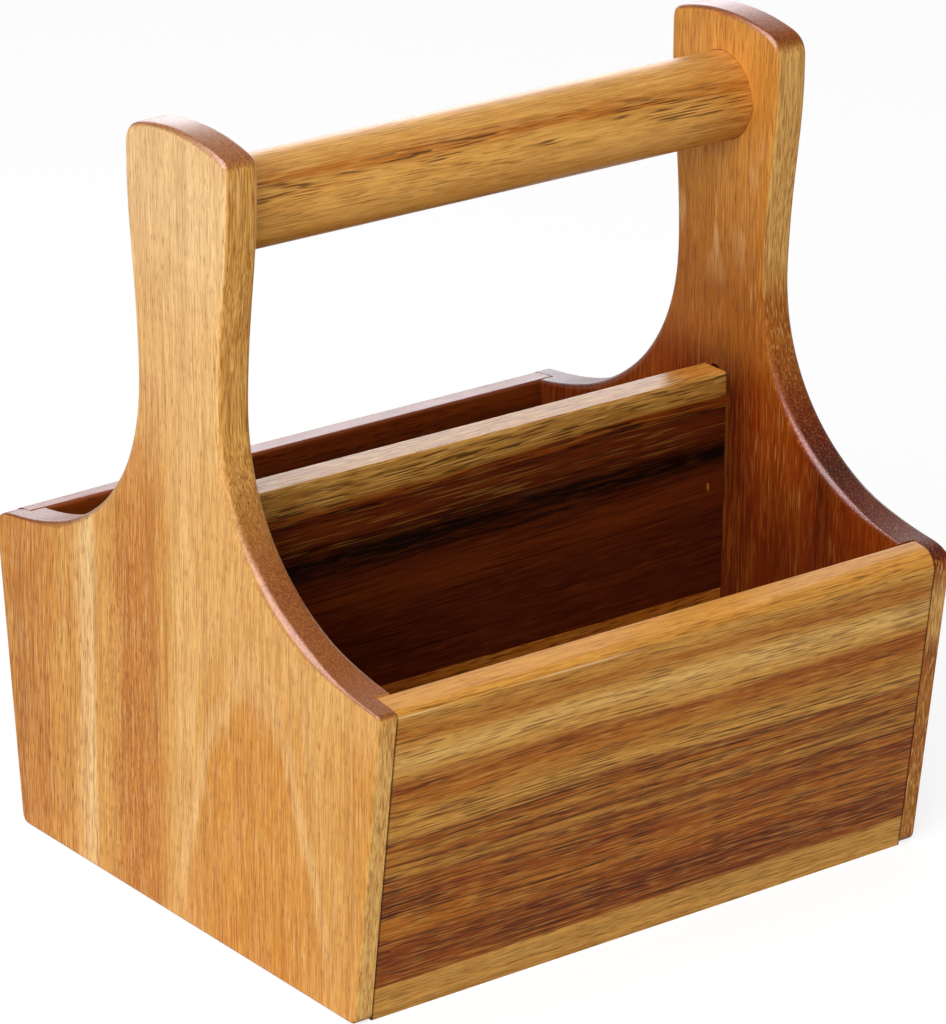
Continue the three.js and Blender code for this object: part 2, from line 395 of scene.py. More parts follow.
# Patterns that push places aside: the fibres' bends, the frayed bands and rings, and the rim of a small mark
BROAD_BEND = Cells(40, 150, 3.1, 1.0)
SMALL_BEND = Cells(8, 60, 8.4, 1.0, share=0.35)
FINE_FRAY = Cells(1.1, 40, 5.7, 1.0)
BROAD_FRAY = Cells(3.0, 90, 2.3, 1.0, share=0.8)
BROAD_RING = Cells(12, 40, 2.2, 1.0)
FINE_RING = Cells(1.2, 30, 6.9, 1.0, share=1.3)
SPOT_RIM = Cells(0.8, 1.2, 0.0, 1.0, share=0.35)

# Patterns that shade the wood: clouds and fibres everywhere, pores and glints where the fibres are cut
CLOUDS = Cells(6, 16, 9.9, 2.0, start=0.68, full=0.32, share=0.24)
FIBRES = Cells(0.34, 9, 7.3, start=0.66, full=0.34, share=0.36)
CUT_PORES = Cells(0.6, 1.4, 1.3, 1.0, start=0.42, full=0.6, share=0.7)
CUT_GLINTS = Cells(0.5, 1.0, 4.9, start=0.58, full=0.68, share=0.16)

# The patches that marks gather in, for a patch one millimetre wide, and the octaves of the marks themselves
PATCH = Cells(1, 5, 4.4, 1.0, start=0.42, full=0.58)
MARK_DETAIL = 0.6

# The wear of the oil film, and what it and the fibres add to the roughness
WEAR = Cells(18, 40, 6.1, 2.0, share=0.16)
FIBRE_ROUGHNESS = 0.08

# How far the fibres stand up as a share of the relief, and the strength of that relief
FIBRE_HEIGHT = 0.3
BUMP_STRENGTH = 0.8

# How squarely a face looks across or along the grain where its edge layers or end grain begin and are full
EDGE_TURN = (0.7, 0.94)
CUT_TURN = (0.1, 0.8)

# The dark line at a glued end: its two limits inside the end, in millimetres, and its strength
JOINT_LINE = (0.75, 0.1)
JOINT_SHARE = 0.8

# The share of their reach that arches and small marks cover fully
ARCH_CORE = 0.6
SPOT_CORE = 0.7

# Noise keeps near the middle of its range, so a shift is stretched by this
SHIFT_STRETCH = 4.0

# How strong the finer octaves of a noise are, and how far a seed moves it across, through and along the board
NOISE_ROUGHNESS = 0.55
SEED_STEPS = (1.0, 1.7, 0.6)

# Places of the colour sockets of a Mix node
MIX_SHARE = 0
MIX_FIRST = 6
MIX_SECOND = 7
MIX_RESULT = 2


class Graph:
    """The node tree of a material or of the world, with short calls for the nodes that go into it."""

    def __init__(self, owner: Union[bpy.types.Material, bpy.types.World]) -> None:
        """Empties the tree of a new material or world.

        Args:
            owner: The material or the world.
        """
        owner.use_nodes = True
        self.owner = owner
        self.tree = owner.node_tree
        self.tree.nodes.clear()

    def node(self, kind: str, **settings: object) -> bpy.types.Node:
        """Adds a node.

        Args:
            kind: Type of the node, without its prefix.
            settings: Values of the node's own properties.

        Returns:
            The node.
        """
        made = self.tree.nodes.new("ShaderNode" + kind)
        for key, value in settings.items():
            setattr(made, key, value)
        return made

    def feed(self, target: Socket, source: object) -> None:
        """Links a socket to the target, or writes a plain value there.

        Args:
            target: The socket that takes it.
            source: The socket or the value.
        """
        if isinstance(source, Socket):
            self.tree.links.new(source, target)
        else:
            target.default_value = source

    def math(self, operation: str, first: Number, second: Number = 0.0, third: Number = 0.0) -> Socket:
        """Joins up to three numbers with a Math node.

        Args:
            operation: Name of the operation.
            first: First number.
            second: Second number.
            third: Third number.

        Returns:
            The result.
        """
        made = self.node("Math", operation=operation)
        for index, value in enumerate((first, second, third)):
            self.feed(made.inputs[index], value)
        return made.outputs[0]

    def fit(self, value: Number, low: float, high: float, smooth: bool = True) -> Socket:
        """Brings a number from the range low to high to the range 0 to 1.

        Args:
            value: The number.
            low: What becomes 0.
            high: What becomes 1.
            smooth: Whether the step is eased at both ends.

        Returns:
            The result, held between 0 and 1.
        """
        made = self.node("MapRange", interpolation_type="SMOOTHSTEP" if smooth else "LINEAR")
        self.feed(made.inputs["Value"], value)
        made.inputs["From Min"].default_value = low
        made.inputs["From Max"].default_value = high
        return made.outputs["Result"]

    def within(self, value: Number, zone: Zone) -> Socket:
        """Tells whether a place lies in a stretch.

        Args:
            value: The place.
            zone: The stretch.

        Returns:
            One inside and zero outside, with soft ends.
        """
        rise = self.fit(value, zone.low - zone.soft, zone.low + zone.soft)
        fall = self.fit(value, zone.high + zone.soft, zone.high - zone.soft)
        return self.math("MULTIPLY", rise, fall)

    def blend(self, share: Number, first: object, second: object, lay: Lay = Lay.PAINT) -> Socket:
        """Lays one colour over another.

        Args:
            share: How much of the second one.
            first: First colour.
            second: Second colour.
            lay: How it lies there.

        Returns:
            The mixed colour.
        """
        made = self.node("Mix", data_type="RGBA", blend_type=lay.value)
        self.feed(made.inputs[MIX_SHARE], share)
        self.feed(made.inputs[MIX_FIRST], first)
        self.feed(made.inputs[MIX_SECOND], second)
        return made.outputs[MIX_RESULT]

    def split(self, vector: Socket) -> list[Socket]:
        """Takes a vector apart.

        Args:
            vector: The vector.

        Returns:
            Its three parts.
        """
        parts = self.node("SeparateXYZ")
        self.feed(parts.inputs[0], vector)
        return list(parts.outputs)

    def join(self, parts: Sequence[Number]) -> Socket:
        """Puts a vector together.

        Args:
            parts: Its three parts.

        Returns:
            The vector.
        """
        joined = self.node("CombineXYZ")
        for index, part in enumerate(parts):
            self.feed(joined.inputs[index], part)
        return joined.outputs[0]

    def noise(self, space: Socket, cells: Cells, seed: float) -> Socket:
        """Fills the wood with a noise pattern.

        Args:
            space: Across, depth and along, in millimetres.
            cells: The pattern.
            seed: Shifts it further.

        Returns:
            A number about 0.5.
        """
        shift = seed + cells.seed
        mapped = self.node("Mapping", vector_type="POINT")
        self.feed(mapped.inputs["Vector"], space)
        mapped.inputs["Location"].default_value = tuple(shift * step for step in SEED_STEPS)
        mapped.inputs["Scale"].default_value = (1 / cells.width, 1 / cells.width, 1 / cells.length)
        made = self.node("TexNoise", noise_dimensions="3D")
        self.feed(made.inputs["Vector"], mapped.outputs[0])
        made.inputs["Scale"].default_value = 1.0
        made.inputs["Detail"].default_value = cells.detail
        made.inputs["Roughness"].default_value = NOISE_ROUGHNESS
        return made.outputs["Fac"]

    def pattern(self, space: Socket, cells: Cells, seed: float, smooth: bool = True) -> Socket:
        """Shows a noise pattern from its start to its full value.

        Args:
            space: Across, depth and along, in millimetres.
            cells: The pattern.
            seed: Shifts it further.
            smooth: Whether it comes in with soft limits.

        Returns:
            A number from 0 to the pattern's share.
        """
        shown = self.fit(self.noise(space, cells, seed), cells.start, cells.full, smooth)
        return self.math("MULTIPLY", shown, cells.share)

    def shifted(self, place: Socket, space: Socket, cells: Cells, seed: float, reach: float) -> Socket:
        """Pushes places aside by a noise pattern.

        Args:
            place: The places along one direction.
            space: Across, depth and along, in millimetres.
            cells: The pattern.
            seed: Shifts it further.
            reach: About how far a place moves to either side.

        Returns:
            The moved places.
        """
        swing = SHIFT_STRETCH * (reach * cells.share)
        shift = self.math("MULTIPLY_ADD", self.noise(space, cells, seed), swing, -swing / 2)
        return self.math("ADD", place, shift)

    def ramp(self, factor: Number, stops: Sequence[tuple]) -> bpy.types.Node:
        """Lays tones over the range of a distance.

        Args:
            factor: The distance.
            stops: Distance, tone and, where the tone doesn't cover fully, its share.

        Returns:
            The Color Ramp node.
        """
        low, high = stops[0][0], stops[-1][0]
        made = self.node("ValToRGB")
        self.feed(made.inputs[0], self.fit(factor, low, high, smooth=False))
        elements = made.color_ramp.elements
        while len(elements) < len(stops):
            elements.new(0.5)
        for element, stop in zip(elements, stops):
            element.position = (stop[0] - low) / (high - low)
        for element, stop in zip(elements, stops):
            element.color = linear(stop[1], stop[2] if len(stop) > 2 else 1.0)
        return made


@dataclass(frozen=True)
class WoodFinish:
    """An oiled board: its bands, its marks, its end grain and its gloss.

    Attributes:
        name: Name of the material.
        grain: The axis that the fibres run along.
        bands: The coloured bands.
        fades: Tones of a whole stretch or face.
        marks: Layers of streaks, lines, pores and flecks.
        spots: Single small marks.
        arches: Rings of a flat-sawn face, if it has them.
        joint: Distance of the glued ends from the middle, in millimetres, or zero.
        end_stain: What the end grain is darkened by.
        roughness: Mean roughness of the surface.
        gloss: Index of refraction of the oil film.
        relief: Depth of the pores, in millimetres.
        seed: Shifts all patterns.
    """

    name: str
    grain: Grain
    bands: Bands
    fades: tuple[Fade, ...] = ()
    marks: tuple[Marks, ...] = ()
    spots: tuple[Spot, ...] = ()
    arches: Optional[Arches] = None
    joint: float = 0.0
    end_stain: Tone = Tone.BARK
    roughness: float = 0.31
    gloss: float = 1.18
    relief: float = 0.05
    seed: float = 0.0

    def grain_space(self, graph: Graph) -> Socket:
        """Places in the board's own directions, bent as the fibres are.

        Args:
            graph: The material's tree.

        Returns:
            Across the grain, through the board and along the grain, in millimetres.
        """
        upright = graph.node("Mapping", vector_type="POINT")
        graph.feed(upright.inputs["Vector"], graph.node("TexCoord").outputs["Object"])
        upright.inputs["Rotation"].default_value = (self.bands.lean, 0.0, 0.0)
        upright.inputs["Location"].default_value = (0.0, 0.0, -self.bands.foot)
        upright.inputs["Scale"].default_value = (1 / MM, 1 / MM, 1 / MM)
        parts = graph.split(upright.outputs[0])
        across, depth, along = (parts[axis] for axis in self.grain.value)
        straight = graph.join((across, depth, along))
        across = graph.math("MULTIPLY_ADD", along, self.bands.slope, across)
        for bend in (BROAD_BEND, SMALL_BEND):
            across = graph.shifted(across, straight, bend, self.seed, self.bands.sway)
        return graph.join((across, depth, along))

    def band_colour(self, graph: Graph, space: Socket) -> Socket:
        """Lays the growth bands, with feathered edges.

        Args:
            graph: The material's tree.
            space: The board's own places.

        Returns:
            Their colour.
        """
        place = graph.split(space)[0]
        for fray in (FINE_FRAY, BROAD_FRAY):
            place = graph.shifted(place, space, fray, self.seed, self.bands.feather)
        return graph.ramp(place, self.bands.stops).outputs["Color"]

    def arch_layer(self, graph: Graph, space: Socket, colour: Socket) -> Socket:
        """Lays the arches of a flat-sawn face over the colour.

        Args:
            graph: The material's tree.
            space: The board's own places.
            colour: The colour under them.

        Returns:
            The colour with the arches.
        """
        across, _, along = graph.split(space)
        aside = graph.math("SUBTRACT", across, self.arches.centre)
        fall = graph.math("DIVIDE", graph.math("POWER", aside, 2.0), self.arches.spread)
        apex = graph.math("ADD", along, fall)
        for sway in (BROAD_RING, FINE_RING):
            apex = graph.shifted(apex, space, sway, self.seed, self.arches.sway)
        rings = graph.ramp(apex, self.arches.stops)
        near = graph.fit(graph.math("ABSOLUTE", aside), self.arches.limit, self.arches.limit * ARCH_CORE)
        share = graph.math("MULTIPLY", rings.outputs["Alpha"], near)
        return graph.blend(share, colour, rings.outputs["Color"])

    def looks_along(self, graph: Graph, axis: int, turn: tuple[float, float]) -> Socket:
        """Tells how squarely a place faces along an axis.

        Args:
            graph: The material's tree.
            axis: Number of the axis.
            turn: Where the result begins and where it is full.

        Returns:
            A number from 0 to 1.
        """
        normal = graph.split(graph.node("TexCoord").outputs["Normal"])
        return graph.fit(graph.math("ABSOLUTE", normal[axis]), *turn)

    def facing(self, graph: Graph, face: Face) -> Socket:
        """Tells whether a place belongs to a face of the board.

        Args:
            graph: The material's tree.
            face: The edges, which look across the grain, or the flats.

        Returns:
            One on that face and zero on the other.
        """
        edge = self.looks_along(graph, self.grain.across, EDGE_TURN)
        return edge if face is Face.EDGE else graph.math("SUBTRACT", 1.0, edge)

    def layer_share(self, graph: Graph, space: Socket, share: Number, layer: Union[Marks, Fade]) -> Socket:
        """Keeps a layer's share to its stretches and its faces.

        Args:
            graph: The material's tree.
            space: The board's own places.
            share: The share.
            layer: The layer.

        Returns:
            The share that is left.
        """
        across, _, along = graph.split(space)
        if layer.zone:
            share = graph.math("MULTIPLY", share, graph.within(across, layer.zone))
        if layer.reach:
            share = graph.math("MULTIPLY", share, graph.within(along, layer.reach))
        if layer.face is not Face.ALL:
            share = graph.math("MULTIPLY", share, self.facing(graph, layer.face))
        return share

    def mark_share(self, graph: Graph, space: Socket, layer: Marks) -> Socket:
        """Tells how fully one layer of marks covers the wood.

        Args:
            graph: The material's tree.
            space: The board's own places.
            layer: The layer.

        Returns:
            Its share at each place.
        """
        limits = (layer.start, layer.full, layer.share)
        cells = Cells(layer.width, layer.length, layer.seed, MARK_DETAIL, *limits)
        share = graph.pattern(space, cells, self.seed)
        if layer.patch:
            patch = PATCH.grown(layer.patch, layer.seed)
            gathered = graph.fit(graph.noise(space, patch, self.seed), patch.start, patch.full)
            share = graph.math("MULTIPLY", share, gathered)
        return self.layer_share(graph, space, share, layer)

    def spot_share(self, graph: Graph, space: Socket, spot: Spot) -> Socket:
        """Tells how fully one small mark covers the wood.

        Args:
            graph: The material's tree.
            space: The board's own places.
            spot: The mark.

        Returns:
            Its share at each place.
        """
        near = graph.node("Mapping", vector_type="POINT")
        graph.feed(near.inputs["Vector"], space)
        near.inputs["Scale"].default_value = tuple(1 / radius for radius in spot.radii)
        near.inputs["Location"].default_value = tuple(-c / r for c, r in zip(spot.centre, spot.radii))
        away = graph.node("VectorMath", operation="LENGTH")
        graph.feed(away.inputs[0], near.outputs[0])
        ragged = graph.shifted(away.outputs["Value"], space, SPOT_RIM, spot.centre[2], 1.0)
        return graph.math("MULTIPLY", graph.fit(ragged, 1.0, SPOT_CORE), spot.share)

    def end_grain(self, graph: Graph, space: Socket, colour: Socket) -> Socket:
        """Darkens the faces that cut the fibres, and lays fine dark and pale specks over them.

        Args:
            graph: The material's tree.
            space: The board's own places.
            colour: The colour of the other faces.

        Returns:
            The colour of all faces.
        """
        cut = self.looks_along(graph, self.grain.along, CUT_TURN)
        dark = graph.blend(1.0, colour, linear(self.end_stain), Lay.STAIN)
        pores = graph.pattern(space, CUT_PORES, self.seed)
        speckled = graph.blend(pores, dark, linear(Tone.WASH), Lay.STAIN)
        glints = graph.pattern(space, CUT_GLINTS, self.seed)
        speckled = graph.blend(glints, speckled, linear(Tone.AMBER))
        return graph.blend(cut, colour, speckled)

    def ground(self, graph: Graph, space: Socket, fibre: Socket) -> Socket:
        """Colours the plain wood: bands, arches, fades, clouds and fibres.

        Args:
            graph: The material's tree.
            space: The board's own places.
            fibre: The fibres' noise.

        Returns:
            The colour.
        """
        colour = self.band_colour(graph, space)
        if self.arches:
            colour = self.arch_layer(graph, space, colour)
        for fade in self.fades:
            share = self.layer_share(graph, space, fade.share, fade)
            colour = graph.blend(share, colour, linear(fade.tone), fade.lay)
        clouds = graph.pattern(space, CLOUDS, self.seed, smooth=False)
        colour = graph.blend(clouds, colour, linear(Tone.WASH), Lay.STAIN)
        shade = graph.fit(fibre, FIBRES.start, FIBRES.full, smooth=False)
        return graph.blend(graph.math("MULTIPLY", shade, FIBRES.share), colour, linear(Tone.WASH), Lay.STAIN)

    def joint_layer(self, graph: Graph, space: Socket, colour: Socket) -> Socket:
        """Draws the dark line of glue at both ends.

        Args:
            graph: The material's tree.
            space: The board's own places.
            colour: The colour under it.

        Returns:
            The colour with the lines.
        """
        outer = graph.math("ABSOLUTE", graph.split(space)[2])
        share = graph.fit(outer, self.joint - JOINT_LINE[0], self.joint - JOINT_LINE[1])
        share = graph.math("MULTIPLY", share, self.facing(graph, Face.FLAT))
        return graph.blend(graph.math("MULTIPLY", share, JOINT_SHARE), colour, linear(Tone.SOOT), Lay.STAIN)

    def material(self) -> bpy.types.Material:
        """Builds the finish as a node material.

        Returns:
            The material.
        """
        graph = Graph(bpy.data.materials.new(self.name))
        space = self.grain_space(graph)
        fibre = graph.noise(space, FIBRES, self.seed)
        colour = self.ground(graph, space, fibre)

        height = graph.math("MULTIPLY", fibre, FIBRE_HEIGHT)
        for layer in self.marks:
            share = self.mark_share(graph, space, layer)
            colour = graph.blend(share, colour, linear(layer.tone), layer.lay)
            if layer.dent:
                height = graph.math("MULTIPLY_ADD", share, -layer.dent, height)
        if self.joint:
            colour = self.joint_layer(graph, space, colour)
        colour = self.end_grain(graph, space, colour)
        for spot in self.spots:
            share = self.spot_share(graph, space, spot)
            colour = graph.blend(share, colour, linear(spot.tone))
            height = graph.math("MULTIPLY_ADD", share, spot.raised, height)

        bump = graph.node("Bump")
        bump.inputs["Strength"].default_value = BUMP_STRENGTH
        bump.inputs["Distance"].default_value = self.relief * MM
        graph.feed(bump.inputs["Height"], height)
        wear = graph.noise(space, WEAR, self.seed)
        least = self.roughness - (WEAR.share + FIBRE_ROUGHNESS) / 2
        uneven = graph.math("MULTIPLY_ADD", wear, WEAR.share, least)
        rough = graph.math("MULTIPLY_ADD", fibre, FIBRE_ROUGHNESS, uneven)

        shader = graph.node("BsdfPrincipled")
        graph.feed(shader.inputs["Base Color"], colour)
        graph.feed(shader.inputs["Roughness"], rough)
        graph.feed(shader.inputs["Normal"], bump.outputs[0])
        shader.inputs["IOR"].default_value = self.gloss
        output = graph.node("OutputMaterial")
        graph.feed(output.inputs["Surface"], shader.outputs[0])
        return graph.owner


def lines(seed: float, dark: Tone, light: Tone, share: float = 1.0) -> tuple[Marks, ...]:
    """The plain grain of a board: soft broad streaks under thin dark and pale lines.

    Args:
        seed: Shifts the pattern.
        dark: Tone of the dark lines, which stain the wood.
        light: Tone of the pale lines.
        share: How strong they are.

    Returns:
        Five layers.
    """
    return (
        Marks(2.2, 70, dark, 0.3 * share, 0.44, 0.66, seed, Lay.STAIN),
        Marks(1.0, 22, light, 0.3 * share, 0.5, 0.7, seed + 0.31),
        Marks(0.55, 26, dark, 0.46 * share, 0.53, 0.68, seed + 0.57, Lay.STAIN),
        Marks(0.48, 9, light, 0.36 * share, 0.54, 0.68, seed + 0.83),
        Marks(0.45, 6, dark, 0.42 * share, 0.55, 0.67, seed + 0.19, Lay.STAIN),
    )


def edge_dashes(seed: float) -> tuple[Marks, ...]:
    """Short dark and pale dashes on the edges that look across the grain.

    Args:
        seed: Shifts the pattern.

    Returns:
        Three layers.
    """
    return (
        Marks(0.8, 30, Tone.TEA, 0.35, 0.46, 0.66, seed, Lay.STAIN, face=Face.EDGE),
        Marks(0.48, 7.0, Tone.SPICE, 0.5, 0.55, 0.67, seed + 0.4, Lay.STAIN, face=Face.EDGE, dent=0.5),
        Marks(0.5, 7.0, Tone.WHEAT, 0.4, 0.54, 0.67, seed + 0.7, face=Face.EDGE),
    )


class Finishes:
    """The woods of the crate, one finish for each stave that shows its own board."""

    def __init__(self, sizes: CrateSizes) -> None:
        """Builds the finishes.

        Args:
            sizes: The crate's sizes.
        """
        self.lean = sizes.lean
        self.foot = sizes.base_width / 2 * math.sin(sizes.lean) / MM
        self.joint = sizes.side_length / 2 / MM
        self.left_wide = self.honey_wide().material()
        self.left_narrow = self.honey_narrow().material()
        self.right_wide = self.russet_wide().material()
        self.right_narrow = self.russet_narrow().material()
        self.front = self.striped().material()
        self.rear = self.dark_rear().material()
        self.front_strip = self.pale_strip("front_pale_wood", -self.lean, 2.0).material()
        self.rear_strip = self.pale_strip("rear_pale_wood", self.lean, 41.0).material()
        self.divider_upper = self.divider_dark().material()
        self.divider_lower = self.divider_low().material()
        self.base = self.base_wood("base_wood", 11.0).material()
        self.base_middle = self.base_wood("base_middle_wood", 37.0).material()
        self.handle = self.golden_rod().material()
        self.dowel = self.dowel_wood().material()

    def honey_wide(self) -> WoodFinish:
        """The left board's wide stave: honey tan, with arches low on its outer face and a paler neck."""
        bands = Bands(
            stops=(
                (-100, Tone.AMBER), (-80, Tone.HONEY), (-66, Tone.HONEY), (-54, Tone.AMBER),
                (-24, Tone.AMBER),
                (-14, Tone.HONEY), (-8, Tone.STRAW), (0, Tone.STRAW), (7, Tone.HONEY), (14, Tone.OCHRE),
                (30, Tone.OCHRE), (38, Tone.HONEY), (44.5, Tone.HONEY),
            ),
            sway=1.6,
            feather=2.2,
        )
        fades = (
            Fade(Tone.STRAW, 0.6, Zone(88, 400, 14), Zone(-200, 3, 6), Face.FLAT),
            Fade(Tone.CREAM, 0.66, Zone(152, 400, 30), face=Face.FLAT),
            Fade(Tone.IVORY, 0.4, Zone(206, 400, 20), face=Face.FLAT),
            Fade(Tone.WHEAT, 0.85, Zone(-90, 98, 8), face=Face.EDGE),
            Fade(Tone.GOLD, 0.85, Zone(106, 400, 12), face=Face.EDGE),
        )
        marks = lines(1.0, Tone.TEA, Tone.CREAM, 0.62) + (
            Marks(0.45, 4.0, Tone.SPICE, 0.36, 0.57, 0.68, 3.0, Lay.STAIN, face=Face.FLAT, dent=0.5),
            Marks(
                0.5, 2.8, Tone.SPICE, 0.42, 0.54, 0.66, 4.0, Lay.STAIN,
                zone=Zone(14, 40, 6), reach=Zone(-9, 125, 20)
            ),
        ) + edge_dashes(8.0)
        arches = Arches(
            centre=-38,
            spread=18.5,
            stops=(
                (0, Tone.AMBER, 0.3), (36, Tone.AMBER, 0.6), (42, Tone.HONEY, 0.5), (48, Tone.AMBER, 0.7),
                (80, Tone.AMBER, 0.7), (89, Tone.CREAM, 0.5), (94, Tone.CREAM, 0.45), (101, Tone.HONEY, 0.4),
                (112, Tone.HONEY, 0.3), (122, Tone.CREAM, 0.3), (150, Tone.HONEY, 0.0),
            ),
            limit=46,
        )
        return WoodFinish("honey_wide_wood", Grain.ALONG_Z, bands, fades, marks, arches=arches, seed=0.0)

    def honey_narrow(self) -> WoodFinish:
        """The left board's narrow stave at the rear: orange tan, with a pale stripe near the glue line."""
        bands = Bands(
            stops=(
                (44.5, Tone.HONEY), (46.5, Tone.CREAM), (50, Tone.CREAM), (53.5, Tone.STRAW),
                (58, Tone.AMBER),
                (62, Tone.HONEY), (68, Tone.AMBER), (76, Tone.OCHRE), (84, Tone.OCHRE), (100, Tone.AMBER),
            ),
            sway=1.0,
            feather=1.3,
        )
        fades = (Fade(Tone.GOLD, 0.6, face=Face.EDGE),)
        marks = lines(11.0, Tone.TEA, Tone.CREAM, 0.75) + (
            Marks(0.45, 5.0, Tone.SPICE, 0.55, 0.56, 0.68, 13.0, Lay.STAIN, dent=0.5),
        ) + edge_dashes(18.0)
        return WoodFinish("honey_narrow_wood", Grain.ALONG_Z, bands, fades, marks, seed=23.0)

    def russet_wide(self) -> WoodFinish:
        """The right board's wide stave: an orange tan neck over a deep russet foot with pale fine streaks.
        The paler neck is painted light, and the dark red below the rim and beside the divider is painted
        shade.
        """
        # The dark bands from -11 to 6 mm across, where the divider meets the board, are partly the wood's own
        # and partly painted shade beside the divider.
        bands = Bands(
            stops=(
                (-45, Tone.EMBER), (-38, Tone.RUSSET), (-26, Tone.RUSSET), (-18, Tone.EMBER),
                (-11, Tone.OXBLOOD),
                (-4, Tone.MAROON), (6, Tone.OXBLOOD), (16, Tone.EMBER), (30, Tone.RUSSET), (100, Tone.EMBER),
            ),
            sway=2.0,
            feather=2.0,
        )
        # The flats grow paler up the neck and go dark red below the rim: painted light on the neck and
        # painted shade low in the compartment. The painted shade runs through to the outer face.
        fades = (
            Fade(Tone.GINGER, 0.9, Zone(140, 400, 12), face=Face.FLAT),
            Fade(Tone.AMBER, 0.85, Zone(180, 400, 26), face=Face.FLAT),
            Fade(Tone.HONEY, 0.4, Zone(200, 400, 24), face=Face.FLAT),
            Fade(Tone.OXBLOOD, 0.85, Zone(-90, 101, 25), face=Face.FLAT),
            Fade(Tone.GINGER, 0.8, Zone(134, 400, 14), face=Face.EDGE),
            Fade(Tone.WHEAT, 0.85, Zone(168, 400, 12), face=Face.EDGE),
        )
        marks = lines(21.0, Tone.TEA, Tone.GINGER, 0.62) + (
            Marks(7.0, 22, Tone.CREAM, 0.45, 0.52, 0.72, 22.4, reach=Zone(170, 206, 12), face=Face.FLAT),
            Marks(
                0.5, 12, Tone.STRAW, 0.34, 0.54, 0.68, 22.0, patch=9, reach=Zone(150, 400, 20), face=Face.FLAT
            ),
            Marks(
                0.45, 12, Tone.HONEY, 0.42, 0.6, 0.7, 24.0, zone=Zone(-60, -16, 5), reach=Zone(100, 138, 12)
            ),
            Marks(0.42, 3.0, Tone.BRASS, 0.2, 0.56, 0.66, 25.0, reach=Zone(-90, 130, 14), face=Face.EDGE),
            Marks(0.45, 6.0, Tone.SPICE, 0.4, 0.56, 0.68, 23.0, Lay.STAIN, face=Face.FLAT, dent=0.5),
        ) + edge_dashes(28.0)
        return WoodFinish("russet_wide_wood", Grain.ALONG_Z, bands, fades, marks, seed=51.0)

    def russet_narrow(self) -> WoodFinish:
        """The right board's narrow stave at the front: darker, with a red glue line beside it."""
        bands = Bands(
            stops=(
                (-100, Tone.EMBER), (-80, Tone.RUSSET), (-62, Tone.EMBER), (-52, Tone.OXBLOOD),
                (-44.5, Tone.EMBER),
            ),
            sway=2.0,
            feather=2.0,
        )
        # The flats go dark red below the rim: painted shade low in the compartment, which runs through to the
        # outer face.
        fades = (
            Fade(Tone.OXBLOOD, 0.6, Zone(-90, 92, 34), face=Face.FLAT),
            Fade(Tone.WHEAT, 0.85, Zone(70, 92, 8), face=Face.EDGE),
            Fade(Tone.BRASS, 0.8, Zone(-90, 62, 12), face=Face.EDGE),
            Fade(Tone.COPPER, 0.5, Zone(18, 48, 9), face=Face.EDGE),
        )
        marks = lines(31.0, Tone.TEA, Tone.COPPER, 0.62) + (
            Marks(0.45, 10, Tone.BRASS, 0.3, 0.58, 0.68, 32.0, patch=9, face=Face.FLAT),
            Marks(0.45, 6.0, Tone.SPICE, 0.4, 0.56, 0.68, 33.0, Lay.STAIN, face=Face.FLAT, dent=0.5),
        ) + edge_dashes(38.0)
        return WoodFinish("russet_narrow_wood", Grain.ALONG_Z, bands, fades, marks, seed=67.0)

    def striped(self) -> WoodFinish:
        """The front board's wide stave: gold over orange and dark brown stripes."""
        bands = Bands(
            stops=(
                (10, Tone.COPPER), (20, Tone.SIENNA), (25, Tone.COPPER), (30, Tone.GINGER), (35, Tone.COPPER),
                (38, Tone.SIENNA), (41, Tone.GINGER), (44, Tone.SIENNA), (47, Tone.BRASS), (51, Tone.COPPER),
                (54, Tone.BRASS), (56, Tone.GINGER), (58.5, Tone.SIENNA), (61, Tone.GOLD), (67, Tone.BRASS),
                (71, Tone.GINGER), (76, Tone.COPPER), (80, Tone.GOLD), (85, Tone.WHEAT), (90, Tone.GOLD),
                (93, Tone.GINGER), (96, Tone.BRASS), (99.5, Tone.GOLD), (103, Tone.GOLD),
            ),
            slope=0.008,
            sway=1.0,
            feather=1.5,
            lean=-self.lean,
            foot=self.foot,
        )
        fades = (Fade(Tone.AMBER, 0.6, zone=Zone(99.4, 120, 0.8)),)
        marks = lines(41.0, Tone.TEA, Tone.GOLD, 0.8) + (
            Marks(0.6, 60, Tone.SOOT, 0.65, 0.6, 0.66, 42.0, Lay.STAIN, zone=Zone(10, 66, 4)),
            Marks(
                0.48, 16, Tone.SOOT, 0.65, 0.6, 0.65, 43.0, Lay.STAIN,
                zone=Zone(12, 68, 5), face=Face.FLAT, dent=0.8
            ),
            Marks(0.45, 12, Tone.SOOT, 0.55, 0.62, 0.67, 44.0, Lay.STAIN, face=Face.FLAT, dent=0.8),
            Marks(
                0.42, 10, Tone.SOOT, 0.5, 0.54, 0.66, 45.0, Lay.STAIN,
                zone=Zone(80, 91, 2), reach=Zone(45, 200, 16)
            ),
            Marks(
                1.4, 40, Tone.IVORY, 0.6, 0.4, 0.56, 46.0,
                zone=Zone(99.0, 99.4, 0.3), reach=Zone(-200, 20, 20)
            ),
        )
        spots = (
            Spot((101.6, -89.2, 5), (0.5, 2.0, 3.6), Tone.IVORY, 0.8, -0.5),
            Spot((101.4, -89.0, 12), (0.4, 2.0, 2.6), Tone.IVORY, 0.8, -0.5),
            Spot((101.5, -89.2, 66), (0.45, 2.0, 3.2), Tone.IVORY, 0.8, -0.5),
            Spot((101.0, -89.0, 73), (0.45, 2.0, 2.4), Tone.IVORY, 0.7, -0.5),
            Spot((101.3, -89.0, -27), (0.6, 2.0, 1.5), Tone.CHESTNUT, 0.8, -1.2),
        )
        return WoodFinish("front_striped_wood", Grain.ALONG_X, bands, fades, marks, spots, joint=self.joint)

